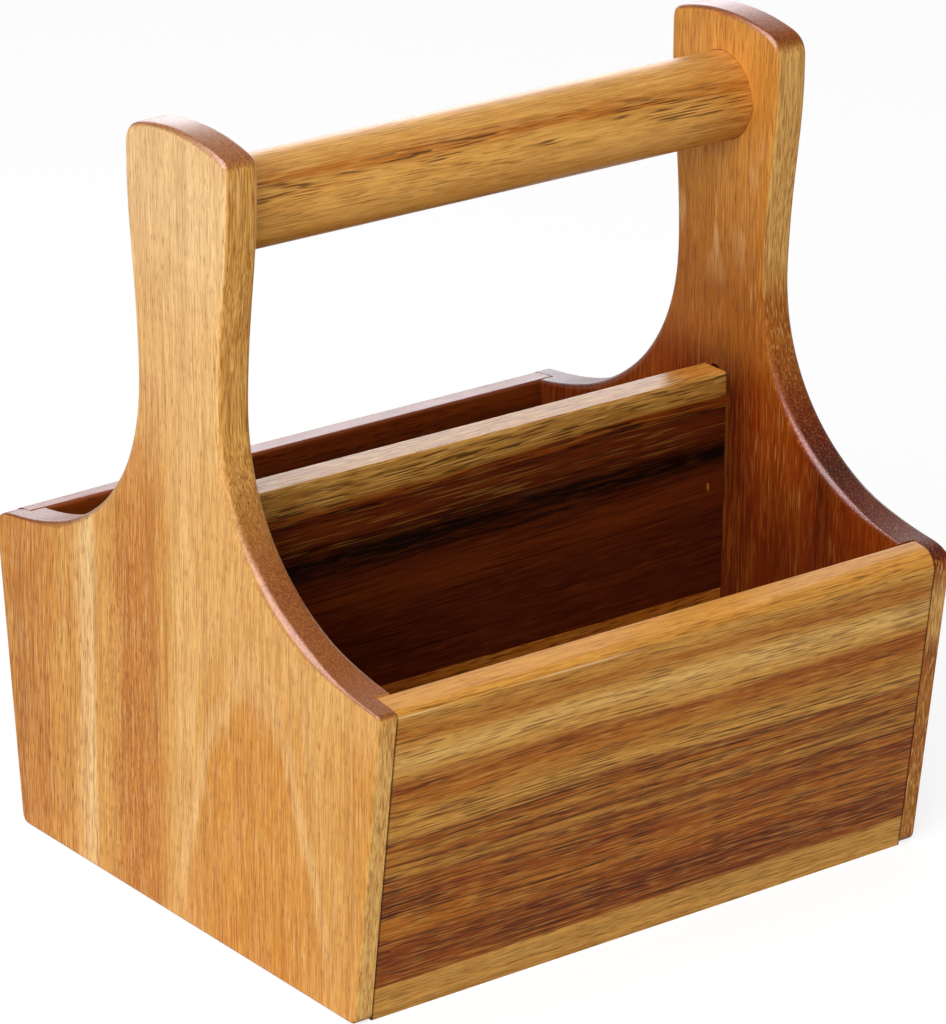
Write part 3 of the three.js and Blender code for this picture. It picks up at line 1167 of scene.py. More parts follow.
    def dark_rear(self) -> WoodFinish:
        """The rear board's wide stave: dark red-brown."""
        bands = Bands(
            stops=(
                (10, Tone.CHESTNUT), (30, Tone.MAROON), (46, Tone.CHESTNUT), (62, Tone.MAROON),
                (76, Tone.UMBER),
                (86, Tone.MAROON), (95, Tone.CHESTNUT), (103, Tone.SIENNA),
            ),
            slope=-0.02,
            sway=2.0,
            feather=2.0,
            lean=self.lean,
            foot=self.foot,
        )
        marks = lines(51.0, Tone.TEA, Tone.SIENNA, 0.5) + (
            Marks(0.45, 8.0, Tone.SOOT, 0.6, 0.56, 0.66, 53.0, Lay.STAIN, patch=6, dent=0.8),
        )
        return WoodFinish("rear_dark_wood", Grain.ALONG_X, bands, (), marks, joint=self.joint, seed=83.0)

    def pale_strip(self, name: str, lean: float, seed: float) -> WoodFinish:
        """A side board's narrow stave at the foot: pale straw.

        Args:
            name: Name of the material.
            lean: The turn that lays the board upright, in radians.
            seed: Shifts all patterns.

        Returns:
            The finish.
        """
        bands = Bands(
            stops=((-1, Tone.FLAX), (3, Tone.GOLD), (6, Tone.FLAX), (8.5, Tone.GOLD), (11, Tone.FLAX)),
            slope=0.008,
            sway=0.6,
            feather=0.8,
            lean=lean,
            foot=self.foot,
        )
        marks = lines(61.0, Tone.TEA, Tone.WHEAT, 0.6) + (
            Marks(0.45, 7, Tone.SOOT, 0.45, 0.58, 0.68, 63.0, Lay.STAIN, dent=0.6),
        )
        return WoodFinish(name, Grain.ALONG_X, bands, (), marks, joint=self.joint, seed=seed)

    def divider_dark(self) -> WoodFinish:
        """The divider's upper stave: pale sapwood at its top, a near-black streak, then dark red-brown."""
        bands = Bands(
            stops=(
                (61, Tone.MAROON), (84, Tone.MAROON), (95, Tone.CHESTNUT), (101, Tone.MAROON),
                (104, Tone.COFFEE),
                (105.5, Tone.INK), (108.5, Tone.INK), (110, Tone.COFFEE), (113, Tone.MAROON),
                (118, Tone.CHESTNUT),
                (121.5, Tone.MAROON), (124, Tone.SIENNA), (126.5, Tone.OLIVE), (131, Tone.FLAX),
                (137, Tone.FLAX),
            ),
            slope=-0.012,
            sway=1.2,
            feather=1.9,
        )
        fades = (Fade(Tone.AMBER, 0.75, Zone(79, 200, 5), face=Face.EDGE),)
        marks = lines(71.0, Tone.TEA, Tone.SIENNA, 0.5) + (
            Marks(0.8, 50, Tone.SOOT, 0.55, 0.54, 0.64, 72.0, Lay.STAIN, patch=8, zone=Zone(61, 122, 4)),
            Marks(0.5, 14, Tone.SOOT, 0.75, 0.56, 0.62, 73.0, Lay.STAIN, zone=Zone(120, 132, 2), dent=0.8),
            Marks(0.48, 9, Tone.SOOT, 0.6, 0.59, 0.65, 75.0, Lay.STAIN, zone=Zone(130, 140, 2), dent=0.8),
            Marks(0.55, 20, Tone.OLIVE, 0.3, 0.58, 0.68, 76.0, zone=Zone(111, 125, 2)),
            Marks(0.5, 12, Tone.WHEAT, 0.4, 0.56, 0.66, 74.0, zone=Zone(126, 140, 1)),
        )
        spots = (Spot((95, -5.7, 90), (1.7, 1.0, 0.6), Tone.GINGER, 0.8, 3.0),)
        return WoodFinish("divider_upper_wood", Grain.ALONG_X, bands, fades, marks, spots, seed=97.0)

    def divider_low(self) -> WoodFinish:
        """The divider's lower stave: orange brown."""
        bands = Bands(
            stops=(
                (8, Tone.GINGER), (24, Tone.COPPER), (40, Tone.SIENNA), (54, Tone.COPPER), (61, Tone.GINGER),
            ),
            sway=2.0,
            feather=2.0,
        )
        marks = lines(81.0, Tone.TEA, Tone.BRASS, 0.8) + (
            Marks(0.5, 8.0, Tone.SOOT, 0.65, 0.57, 0.66, 83.0, Lay.STAIN, dent=0.8),
        )
        return WoodFinish("divider_lower_wood", Grain.ALONG_X, bands, (), marks, seed=113.0)

    def base_wood(self, name: str, seed: float) -> WoodFinish:
        """A stave of the base, mid brown.

        Args:
            name: Name of the material.
            seed: Shifts all patterns.

        Returns:
            The finish.
        """
        bands = Bands(stops=((-4, Tone.COPPER), (4, Tone.GINGER), (12, Tone.COPPER)), sway=8.0, feather=3.0)
        marks = lines(91.0, Tone.TEA, Tone.BRASS, 0.8) + (
            Marks(0.5, 8.0, Tone.SOOT, 0.6, 0.57, 0.66, 93.0, Lay.STAIN, patch=10, dent=0.8),
        )
        return WoodFinish(name, Grain.ALONG_X, bands, (), marks, roughness=0.5, seed=seed)

    def golden_rod(self) -> WoodFinish:
        """The handle: golden, with a brown band of short dark flecks high on its front."""
        bands = Bands(
            stops=(
                (209, Tone.GINGER), (212, Tone.BRASS), (215, Tone.HONEY), (226, Tone.HONEY), (229, Tone.GOLD),
                (231.5, Tone.GINGER), (234, Tone.BRASS), (238, Tone.GOLD),
            ),
            slope=0.012,
            sway=0.8,
            feather=1.3,
        )
        fades = (Fade(Tone.GINGER, 0.5, Zone(78, 120, 14)),)
        marks = lines(101.0, Tone.TEA, Tone.WHEAT, 0.55) + (
            Marks(
                0.55, 14, Tone.SOOT, 0.8, 0.54, 0.63, 103.0, Lay.STAIN,
                patch=5, zone=Zone(224, 233, 2), dent=0.9
            ),
            Marks(0.38, 9, Tone.SOOT, 0.45, 0.59, 0.68, 104.0, Lay.STAIN, patch=9, dent=0.7),
        )
        return WoodFinish("golden_rod_wood", Grain.ALONG_X, bands, fades, marks, roughness=0.36, seed=131.0)

    def dowel_wood(self) -> WoodFinish:
        """The hidden pins: plain and pale."""
        bands = Bands(stops=((0, Tone.WHEAT), (60, Tone.STRAW), (110, Tone.WHEAT)), sway=2.0, feather=1.0)
        marks = lines(111.0, Tone.TEA, Tone.CREAM, 0.5)
        return WoodFinish("dowel_wood", Grain.ALONG_X, bands, (), marks, roughness=0.55, seed=149.0)


class Piece:
    """One wooden piece while it is worked: a mesh in the crate's own frame."""

    def __init__(self, name: str, work: bmesh.types.BMesh) -> None:
        """Makes an object from a bmesh.

        Args:
            name: Name of the piece.
            work: The shape, which is used up.
        """
        bmesh.ops.recalc_face_normals(work, faces=work.faces[:])
        mesh = bpy.data.meshes.new(name)
        work.to_mesh(mesh)
        work.free()
        self.body = bpy.data.objects.new(name, mesh)
        bpy.context.scene.collection.objects.link(self.body)

    def settle(self) -> None:
        """Applies the piece's modifiers to its mesh."""
        graph = bpy.context.evaluated_depsgraph_get()
        graph.update()
        worked = bpy.data.meshes.new_from_object(self.body.evaluated_get(graph), depsgraph=graph)
        old = self.body.data
        self.body.modifiers.clear()
        self.body.data = worked
        name = old.name
        bpy.data.meshes.remove(old)
        worked.name = name

    def soften(self, radius: float, share: Callable[[bmesh.types.BMEdge], float], segments: int) -> None:
        """Rounds the arrises, each by its own share of a radius.

        Args:
            radius: The full radius.
            share: Gives an edge's share of it, from 0 to 1.
            segments: Number of facets of a rounded arris.
        """
        work = bmesh.new()
        work.from_mesh(self.body.data)
        weight = work.edges.layers.float.get("bevel_weight_edge")
        if weight is None:
            weight = work.edges.layers.float.new("bevel_weight_edge")
        for edge in work.edges:
            edge[weight] = share(edge)
        work.to_mesh(self.body.data)
        work.free()
        rounding = self.body.modifiers.new("arris", "BEVEL")
        rounding.limit_method = "WEIGHT"
        rounding.width = radius
        rounding.segments = segments
        rounding.profile = 0.5
        rounding.use_clamp_overlap = True
        self.settle()

    def carve(self, cutters: Sequence[bmesh.types.BMesh]) -> None:
        """Cuts the joints of the piece.

        Args:
            cutters: Closed shapes, which are used up.
        """
        tools = [Piece(f"{self.body.name}_cutter_{index}", shape) for index, shape in enumerate(cutters)]
        for tool in tools:
            cut = self.body.modifiers.new("joint", "BOOLEAN")
            cut.operation = "DIFFERENCE"
            cut.solver = "EXACT"
            cut.object = tool.body
        self.settle()
        for tool in tools:
            mesh = tool.body.data
            bpy.data.objects.remove(tool.body)
            bpy.data.meshes.remove(mesh)

    def split(self, name: str, point: Vector, normal: Vector) -> "Piece":
        """Saws the piece in two along a plane. This piece keeps the side behind the plane.

        Args:
            name: Name of the new piece.
            point: A point of the plane.
            normal: The plane's normal, which points to the new piece.

        Returns:
            The new piece.
        """
        halves = []
        for sign in (1, -1):
            work = bmesh.new()
            work.from_mesh(self.body.data)
            everything = work.verts[:] + work.edges[:] + work.faces[:]
            sawn = bmesh.ops.bisect_plane(
                work,
                geom=everything,
                dist=SAW_SLACK,
                plane_co=point,
                plane_no=normal * sign,
                clear_outer=True,
            )
            rim = [item for item in sawn["geom_cut"] if isinstance(item, bmesh.types.BMEdge)]
            bmesh.ops.triangle_fill(work, edges=rim, use_beauty=True)
            bmesh.ops.recalc_face_normals(work, faces=work.faces[:])
            halves.append(work)
        halves[0].to_mesh(self.body.data)
        halves[0].free()
        return Piece(name, halves[1])

    def dress(self, material: bpy.types.Material, node: str, slot: str) -> None:
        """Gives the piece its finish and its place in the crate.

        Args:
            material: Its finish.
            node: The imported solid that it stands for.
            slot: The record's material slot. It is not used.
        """
        mesh = self.body.data
        mesh.materials.clear()
        mesh.materials.append(material)
        mesh.shade_smooth()
        mesh.set_sharp_from_angle(angle=SHARP_TURN)
        smooth = self.body.modifiers.new("flat_faces", "WEIGHTED_NORMAL")
        smooth.mode = "FACE_AREA"
        smooth.keep_sharp = True
        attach(self.body, "root")
        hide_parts(node)
        LOG.info("%s: %d faces, stands for %s", self.body.name, len(mesh.polygons), node)


def prism(points: Sequence[Sequence[float]], start: float, end: float) -> bmesh.types.BMesh:
    """Draws a section in Y and Z and extrudes it along X.

    Args:
        points: Corners of the section.
        start: Where the prism starts.
        end: Where it ends.

    Returns:
        A closed shape.
    """
    work = bmesh.new()
    corners = [work.verts.new((start, y, z)) for y, z in points]
    face = work.faces.new(corners)
    grown = bmesh.ops.extrude_face_region(work, geom=[face], use_keep_orig=True)
    far = [item for item in grown["geom"] if isinstance(item, bmesh.types.BMVert)]
    bmesh.ops.translate(work, verts=far, vec=(end - start, 0, 0))
    bmesh.ops.recalc_face_normals(work, faces=work.faces[:])
    return work


def loft(rings: Sequence[Sequence[Vector]]) -> bmesh.types.BMesh:
    """Extrudes a face from ring to ring.

    Args:
        rings: The corners of each ring, with as many in each.

    Returns:
        A closed shape.
    """
    work = bmesh.new()
    corners = [work.verts.new(corner) for corner in rings[0]]
    face = work.faces.new(corners)
    for ring in rings[1:]:
        grown = bmesh.ops.extrude_discrete_faces(work, faces=[face])
        face = grown["faces"][0]
        for vertex, corner in zip(face.verts, ring):
            vertex.co = corner
    work.faces.new(corners)
    return work


def block(low: Sequence[float], high: Sequence[float]) -> bmesh.types.BMesh:
    """Makes a box between two corners.

    Args:
        low: Lowest corner.
        high: Highest corner.

    Returns:
        A closed shape.
    """
    first, last = Vector(low), Vector(high)
    work = bmesh.new()
    place = Matrix.Translation((first + last) / 2) @ Matrix.Diagonal((*(last - first), 1))
    bmesh.ops.create_cube(work, size=1, matrix=place)
    return work


def bar(radius: float, start: float, end: float, y: float, z: float, sides: int) -> bmesh.types.BMesh:
    """Makes a round bar along X.

    Args:
        radius: Its radius.
        start: Where it starts.
        end: Where it ends.
        y: Its place across the crate.
        z: Its height.
        sides: Number of facets round it.

    Returns:
        A closed shape.
    """
    work = bmesh.new()
    place = Matrix.Translation(((start + end) / 2, y, z)) @ Matrix.Rotation(math.radians(90), 4, "Y")
    bmesh.ops.create_cone(
        work,
        cap_ends=True,
        segments=sides,
        radius1=radius,
        radius2=radius,
        depth=end - start,
        matrix=place,
    )
    return work


@dataclass(frozen=True)
class Rounding:
    """The rounded foot and shoulder on one side of an end board.

    Attributes:
        foot: How far the foot's rounding reaches along both edges.
        down: How far the shoulder's rounding reaches down the side.
        across: How far it reaches inwards along the top.
        flat: Where the shoulder's flat ends and the sweep starts.
        head: How far the rounding of the head's corner reaches along both edges.
    """

    foot: float
    down: float
    across: float
    flat: float
    head: float


@dataclass
class EndBoard:
    """An end board: a shaped plate that carries the handle, in two staves with one glue line.

    Attributes:
        sizes: The crate's sizes.
        wide_finish: Finish of the wide stave.
        narrow_finish: Finish of the narrow stave.
        side: Which end it stands at, for its name.
        turned: Whether it is turned half round, to stand at the right.
        wide_side: Rounded corners on the wide stave's side.
        narrow_side: Rounded corners on the narrow stave's side.
        sweep_reach: How far the sweep pulls inwards from the shoulder.
        sweep_drop: How far it pulls down from the waist.
        waist_pull: How far the neck pulls up from the waist.
        head_pull: How far it pulls down from the head.
        lip_run: Height over which the arris grows from the lip's to the sweep's.
        head_lead: How far below the waist it starts to shrink to the head's.
        head_run: Height over which it shrinks.
        guide_share: How near a corner's guide points lie to it, which makes its rounding a plain parabola.
    """

    sizes: CrateSizes
    wide_finish: bpy.types.Material
    narrow_finish: bpy.types.Material
    side: str
    turned: bool
    wide_side: Rounding = Rounding(foot=2.4 * MM, down=2.4 * MM, across=2.4 * MM, flat=8 * MM, head=3.4 * MM)
    narrow_side: Rounding = Rounding(foot=3.2 * MM, down=5.5 * MM, across=9.5 * MM, flat=10 * MM, head=6 * MM)
    sweep_reach: float = 54 * MM
    sweep_drop: float = 37.5 * MM
    waist_width: float = 41.6 * MM
    waist_height: float = 171.5 * MM
    waist_pull: float = 25 * MM
    head_width: float = 51.2 * MM
    head_below_top: float = 16 * MM
    head_pull: float = 20 * MM
    top_arc_radius: float = 80 * MM
    glue_line: float = 44.5 * MM
    outer_arris: float = 2.9 * MM
    inner_arris: float = 2.6 * MM
    head_arris: float = 1.9 * MM
    lip_arris: float = 1.0 * MM
    lip_run: float = 9 * MM
    head_lead: float = 25 * MM
    head_run: float = 40 * MM
    guide_share: float = 2 / 3
    curve_steps: int = 30
    corner_steps: int = 7
    crown_steps: int = 8
    housing_steps: int = 12
    arris_facets: int = 5

    def rounded(self, start: Vector, corner: Vector, end: Vector) -> list[Vector]:
        """Rounds a corner of the outline.

        Args:
            start: Where the rounding starts.
            corner: The sharp corner.
            end: Where the rounding ends.

        Returns:
            Points from start to end.
        """
        first = start.lerp(corner, self.guide_share)
        second = end.lerp(corner, self.guide_share)
        return [Vector(p) for p in interpolate_bezier(start, first, second, end, self.corner_steps)]

    def half_outline(self, rounding: Rounding) -> list[Vector]:
        """Draws half of the outline, from the foot's corner to the crown.

        Args:
            rounding: The rounded corners of that side.

        Returns:
            Points in Y and Z.
        """
        s = self.sizes
        foot = Vector((s.outer_face(0), 0))
        shoulder = Vector((s.outer_face(s.rim_height), s.rim_height))
        up = (shoulder - foot).normalized()
        inward = Vector((-up.y, up.x))
        sweep = shoulder + inward * rounding.flat
        waist = Vector((self.waist_width / 2, self.waist_height))
        head = Vector((self.head_width / 2, s.height - self.head_below_top))
        centre = s.height - self.top_arc_radius
        arc_start = head.x - rounding.head

        def crown(y: float) -> Vector:
            """The point of the top arc at a distance from the middle."""
            return Vector((y, centre + math.sqrt(self.top_arc_radius ** 2 - y ** 2)))

        outline = self.rounded(foot - Vector((rounding.foot, 0)), foot, foot + up * rounding.foot)
        outline += self.rounded(shoulder - up * rounding.down, shoulder, shoulder + inward * rounding.across)
        sweep_guide = shoulder + inward * self.sweep_reach
        waist_guide = waist - Vector((0, self.sweep_drop))
        outline += interpolate_bezier(sweep, sweep_guide, waist_guide, waist, self.curve_steps)
        head_guide = head - Vector((0, self.head_pull))
        waist_exit = waist + Vector((0, self.waist_pull))
        outline += interpolate_bezier(waist, waist_exit, head_guide, head, self.curve_steps)[1:]
        corner = crown(head.x)
        outline += self.rounded(corner - Vector((0, rounding.head)), corner, crown(arc_start))
        outline += [crown(arc_start * step / self.crown_steps) for step in reversed(range(self.crown_steps))]
        return [Vector(point) for point in outline]

    def outline(self) -> list[Vector]:
        """Draws the whole outline: the narrow side, then the wide side mirrored.

        Returns:
            Points in Y and Z.
        """
        narrow = self.half_outline(self.narrow_side)
        wide = self.half_outline(self.wide_side)
        return narrow + [Vector((-point.x, point.y)) for point in reversed(wide[:-1])]

    def arris_radius(self, z: float, full: float) -> float:
        """Gives the radius of an arris: small round the lips, full on the sweeps and less at the head.

        Args:
            z: The height.
            full: The radius along the sweeps.

        Returns:
            The radius.
        """
        rise = ease((z - self.sizes.rim_height) / self.lip_run)
        fall = ease((z - self.waist_height + self.head_lead) / self.head_run)
        return self.lip_arris + (full - self.lip_arris) * rise + (self.head_arris - full) * fall

    def plate(self) -> bmesh.types.BMesh:
        """Makes the plate with its rounded arrises, ring by ring from the outer face, which is at x = 0.

        Returns:
            A closed shape.
        """
        points = self.outline()
        spans = zip(points[-1:] + points[:-1], points[1:] + points[:1])
        tangents = [(after - before).normalized() for before, after in spans]
        turns = [math.pi / 2 * step / self.arris_facets for step in range(self.arris_facets + 1)]
        rounds = [(self.outer_arris, 0.0, 1, turn) for turn in reversed(turns)]
        rounds += [(self.inner_arris, self.sizes.end_thickness, -1, turn) for turn in turns]
        rings = []
        for full, face, inward, turn in rounds:
            ring = []
            for point, tangent in zip(points, tangents):
                radius = self.arris_radius(point.y, full)
                inset = radius * (1 - math.cos(turn))
                x = face + inward * radius * (1 - math.sin(turn))
                ring.append(Vector((x, point.x - tangent.y * inset, point.y + tangent.x * inset)))
            rings.append(ring)
        return loft(rings)

    def cutters(self) -> list[bmesh.types.BMesh]:
        """Makes the shapes that cut the rebates, the housing, the base groove and the handle's socket.

        Returns:
            Closed shapes, for a board whose outer face is at x = 0.
        """
        s = self.sizes
        over = OVERRUN
        top = s.rim_height + 2 * over
        inside = s.end_thickness + over
        shapes = []
        for side in (-1, 1):
            section = [
                (side * (s.inner_face(-over) - s.joint_gap), -over),
                (side * (s.outer_face(top) + over), -over),
                (side * (s.outer_face(top) + over), top),
                (side * (s.inner_face(top) - s.joint_gap), top),
            ]
            shapes.append(prism(section, s.lip, inside))
        half = s.housing_width / 2
        middle = (s.groove_bottom + s.groove_top) / 2
        arc_height = s.divider_height + s.housing_rise - half
        turns = [math.pi * step / self.housing_steps for step in range(self.housing_steps + 1)]
        slot = [(-half, middle), (half, middle)]
        slot += [(half * math.cos(turn), arc_height + half * math.sin(turn)) for turn in turns]
        shapes.append(prism(slot, s.end_thickness - s.housing_depth, inside))
        reach = s.inner_face(s.groove_bottom) + s.groove_depth
        low = (s.end_thickness - s.groove_depth, -reach, s.groove_bottom)
        shapes.append(block(low, (inside, reach, s.groove_top)))
        socket_radius = s.rod_radius + s.joint_gap
        socket_bottom = s.end_thickness - s.socket_depth
        shapes.append(bar(socket_radius, socket_bottom, inside, 0, s.rod_height, ROD_FACETS))
        return shapes

    def build(self) -> None:
        """Builds both staves and dresses them."""
        s = self.sizes
        board = Piece(f"{self.side}_wide_stave", self.plate())
        board.carve(self.cutters())
        place = Matrix.Translation((-s.length / 2, 0, 0))
        if self.turned:
            place = Matrix.Rotation(math.pi, 4, "Z") @ place
        board.body.data.transform(place)
        side = -1 if self.turned else 1
        seam = Vector((0, side * self.glue_line, 0))
        narrow = board.split(f"{self.side}_narrow_stave", seam, Vector((0, side, 0)))
        board.dress(self.wide_finish, f"{self.side}_end_wide_stave", "end_board")
        narrow.dress(self.narrow_finish, f"{self.side}_end_narrow_stave", "end_board")


@dataclass
class SideBoard:
    """A leaning side board: a wide stave with a rounded rim over a narrow pale one.

    Attributes:
        sizes: The crate's sizes.
        upper_finish: Finish of the wide stave.
        lower_finish: Finish of the narrow stave.
        side: Which side it stands on, for its name.
        turned: Whether it is turned half round, to stand at the rear.
        outer_radius: Radius of the rim's outer arris.
        worn_radius: The same at the end that is worn rounder.
        worn_reach: Length over which it grows to that.
        inner_radius: Radius of the rim's inner arris.
        end_arris: Radius of the arrises round both ends.
        lower_stave: Height of the narrow stave.
        facets: Facets of a rounded rim.
        end_facets: Facets of the end arrises.
        stations: Steps in which the rim's radius grows.
    """

    sizes: CrateSizes
    upper_finish: bpy.types.Material
    lower_finish: bpy.types.Material
    side: str
    turned: bool
    outer_radius: float = 2.7 * MM
    worn_radius: float = 6.0 * MM
    worn_reach: float = 75 * MM
    inner_radius: float = 1.3 * MM
    end_arris: float = 0.25 * MM
    lower_stave: float = 10.4 * MM
    facets: int = 7
    end_facets: int = 2
    stations: int = 16

    def section(self, low: float, high: float) -> list[Vector]:
        """Draws a stretch of the board's section, square to its faces.

        Args:
            low: Height of its lower outer corner.
            high: Height of its upper outer corner.

        Returns:
            Four corners in Y and Z: lower outer, lower inner, upper inner, upper outer.
        """
        s = self.sizes
        across = Vector((math.cos(s.lean), math.sin(s.lean)))
        lower = Vector((-s.outer_face(low), low))
        upper = Vector((-s.outer_face(high), high))
        inset = across * s.side_thickness
        foot = lower + inset if low > 0 else Vector((-s.inner_face(0), 0))
        return [lower, foot, upper + inset, upper]

    def rim_section(self, x: float) -> list[Vector]:
        """Draws the upper stave's section, with its rim rounded more towards the narrow stave's corner.

        Args:
            x: The place along the front board.

        Returns:
            Corners in Y and Z.
        """
        lower, foot, inner, outer = self.section(self.lower_stave, self.sizes.rim_height)
        worn = ease(1 - (self.sizes.side_length / 2 - x) / self.worn_reach)
        radius = self.outer_radius + (self.worn_radius - self.outer_radius) * worn
        across = (outer - inner).normalized()
        up = (outer - lower).normalized()
        points = [lower, foot]
        for corner, reach, side in ((inner, self.inner_radius, -1), (outer, radius, 1)):
            middle = corner - across * (reach * side) - up * reach
            for step in range(self.facets + 1):
                turn = math.pi / 2 * step / self.facets
                aside, rise = math.cos(turn), math.sin(turn)
                if side > 0:
                    aside, rise = rise, aside
                points.append(middle + across * (reach * side * aside) + up * (reach * rise))
        return points

    def upper_board(self, half: float) -> bmesh.types.BMesh:
        """Extrudes the upper stave station by station, since its rim's rounding changes along it.

        Args:
            half: Half of its length.

        Returns:
            A closed shape.
        """
        shares = [1 - step / self.stations for step in range(self.stations + 1)]
        stations = [-half] + [half - self.worn_reach * share for share in shares]
        return loft([[Vector((x, y, z)) for y, z in self.rim_section(x)] for x in stations])

    def end_share(self, edge: bmesh.types.BMEdge) -> float:
        """Gives the arrises round the two ends the full radius, and other edges none."""
        half = self.sizes.side_length / 2
        return 1.0 if all(abs(abs(vertex.co.x) - half) < CORNER_SLACK for vertex in edge.verts) else 0.0

    def build(self) -> None:
        """Builds both staves and dresses them."""
        s = self.sizes
        half = s.side_length / 2
        reach = s.inner_face(s.groove_bottom) + s.groove_depth
        end = half + OVERRUN
        groove = block((-end, -reach, s.groove_bottom), (end, OVERRUN - s.inner_face(0), s.groove_top))
        upper = Piece(f"{self.side}_upper_board", self.upper_board(half))
        upper.soften(self.end_arris, self.end_share, self.end_facets)
        lower = Piece(f"{self.side}_lower_strip", prism(self.section(0, self.lower_stave), -half, half))
        lower.carve([groove])
        for piece in (upper, lower):
            if self.turned:
                piece.body.data.transform(Matrix.Rotation(math.pi, 4, "Z"))
        upper.dress(self.upper_finish, f"{self.side}_upper_stave", "side_striped")
        lower.dress(self.lower_finish, f"{self.side}_lower_stave", "pale_strip")


@dataclass
class Divider:
    """The lengthwise divider, in two staves, with a thin tongue in the end boards' housings."""

    sizes: CrateSizes
    upper_finish: bpy.types.Material
    lower_finish: bpy.types.Material
    thickness: float = 11.4 * MM
    glue_height: float = 61 * MM
    arris: float = 1.0 * MM
    tongue_step: float = 3 * MM
    facets: int = 4

    def stave(self, name: str, low: float, high: float, tongue_top: float) -> Piece:
        """Makes one stave with its tongue.

        Args:
            name: Name of the piece.
            low: Its lower edge.
            high: Its upper edge.
            tongue_top: Where its tongue ends.

        Returns:
            The piece.
        """
        s = self.sizes
        half_length = s.inner_length / 2 - s.joint_gap
        half = self.thickness / 2
        tongue_width = s.housing_width - 2 * s.joint_gap
        tongue_length = s.housing_depth - s.joint_gap
        work = block((-half_length, -half, low), (half_length, half, high))
        if tongue_top < high:
            everything = work.verts[:] + work.edges[:] + work.faces[:]
            bmesh.ops.bisect_plane(work, geom=everything, plane_co=(0, 0, tongue_top), plane_no=(0, 0, 1))
        ends = [face for face in work.faces if abs(face.normal.x) > LOOKS_ALONG]
        for face in [end for end in ends if end.calc_center_median().z < tongue_top]:
            side = math.copysign(1, face.normal.x)
            grown = bmesh.ops.extrude_discrete_faces(work, faces=[face])
            tip = grown["faces"][0]
            squeeze = Matrix.Diagonal((1, tongue_width / self.thickness, 1))
            bmesh.ops.transform(work, matrix=squeeze, verts=tip.verts[:])
            again = bmesh.ops.extrude_discrete_faces(work, faces=[tip])
            bmesh.ops.translate(work, verts=again["faces"][0].verts[:], vec=(side * tongue_length, 0, 0))
        bmesh.ops.remove_doubles(work, verts=work.verts[:], dist=CORNER_SLACK)
        return Piece(name, work)

    def top_share(self, edge: bmesh.types.BMEdge) -> float:
        """Rounds only the long upper arrises.

        Args:
            edge: An edge of the stave.

        Returns:
            One for such an arris, and zero for any other edge.
        """
        first, second = (vertex.co for vertex in edge.verts)
        high = min(first.z, second.z) > self.sizes.divider_height - LEVEL_SLACK
        return 1.0 if high and abs(first.x - second.x) > LEVEL_SLACK else 0.0

    def build(self) -> None:
        """Builds both staves and dresses them."""
        top, bottom, seam = self.sizes.divider_height, self.sizes.base_thickness, self.glue_height
        upper = self.stave("divider_upper_board", seam, top, top - self.tongue_step)
        upper.soften(self.arris, self.top_share, self.facets)
        lower = self.stave("divider_lower_board", bottom, seam, seam)
        upper.dress(self.upper_finish, "divider_upper_stave", "divider_dark")
        lower.dress(self.lower_finish, "divider_lower_stave", "divider_dark")


@dataclass
class Base:
    """The floor of the crate: three staves with a tongue all round."""

    sizes: CrateSizes
    outer_finish: bpy.types.Material
    middle_finish: bpy.types.Material
    glue_line: float = 28 * MM

    def stave(self, name: str, y_low: float, y_high: float) -> Piece:
        """Makes one stave by cutting the tongue's shoulders off a plain board.

        Args:
            name: Name of the piece.
            y_low: Its front edge, with the tongue.
            y_high: Its rear edge, with the tongue.

        Returns:
            The piece.
        """
        s = self.sizes
        gap, over, thickness = s.joint_gap, OVERRUN, s.base_thickness
        body = s.inner_length / 2 - gap
        tip = s.inner_length / 2 + s.groove_depth - gap
        under_tongue = (-over, s.groove_bottom + gap, s.inner_face(0) - gap)
        above_tongue = (s.groove_top - gap, thickness + over, s.inner_face(thickness) - gap)
        piece = Piece(name, block((-tip, y_low, 0), (tip, y_high, thickness)))
        shoulders = []
        for side in (-1, 1):
            for low, high, _ in (under_tongue, above_tongue):
                ends = sorted((side * body, side * (tip + over)))
                shoulders.append(block((ends[0], y_low - over, low), (ends[1], y_high + over, high)))
        for side, edge in ((-1, y_low), (1, y_high)):
            if abs(edge) <= self.glue_line:
                continue
            for low, high, reach in (under_tongue, above_tongue):
                span = sorted((side * reach, side * (abs(edge) + over)))
                shoulders.append(block((-tip - over, span[0], low), (tip + over, span[1], high)))
        piece.carve(shoulders)
        return piece

    def build(self) -> None:
        """Builds the three staves and dresses them."""
        s = self.sizes
        reach = s.inner_face(s.groove_bottom) + s.groove_depth - s.joint_gap
        front = self.stave("base_front_board", -reach, -self.glue_line)
        middle = self.stave("base_middle_board", -self.glue_line, self.glue_line)
        rear = self.stave("base_rear_board", self.glue_line, reach)
        front.dress(self.outer_finish, "base_front_stave", "base_board")
        middle.dress(self.middle_finish, "base_middle_stave", "base_board")
        rear.dress(self.outer_finish, "base_rear_stave", "base_board")


@dataclass
class Handle:
    """The round carrying rod, with its ends in blind sockets."""

    sizes: CrateSizes
    finish: bpy.types.Material
    arris: float = 0.8 * MM
    arris_facets: int = 3

    def build(self) -> None:
        """Builds the rod and dresses it."""
        s = self.sizes
        half = s.inner_length / 2 + s.socket_depth - s.joint_gap
        work = bar(s.rod_radius, -half, half, 0, s.rod_height, ROD_FACETS)
        rims = [edge for edge in work.edges if abs(edge.verts[0].co.x - edge.verts[1].co.x) < LEVEL_SLACK]
        bmesh.ops.bevel(
            work,
            geom=rims,
            offset=self.arris,
            offset_type="OFFSET",
            segments=self.arris_facets,
            profile=0.5,
            affect="EDGES",
            material=-1,
            clamp_overlap=True,
        )
        rod = Piece("carrying_rod", work)
        rod.dress(self.finish, "handle_rod", "handle")


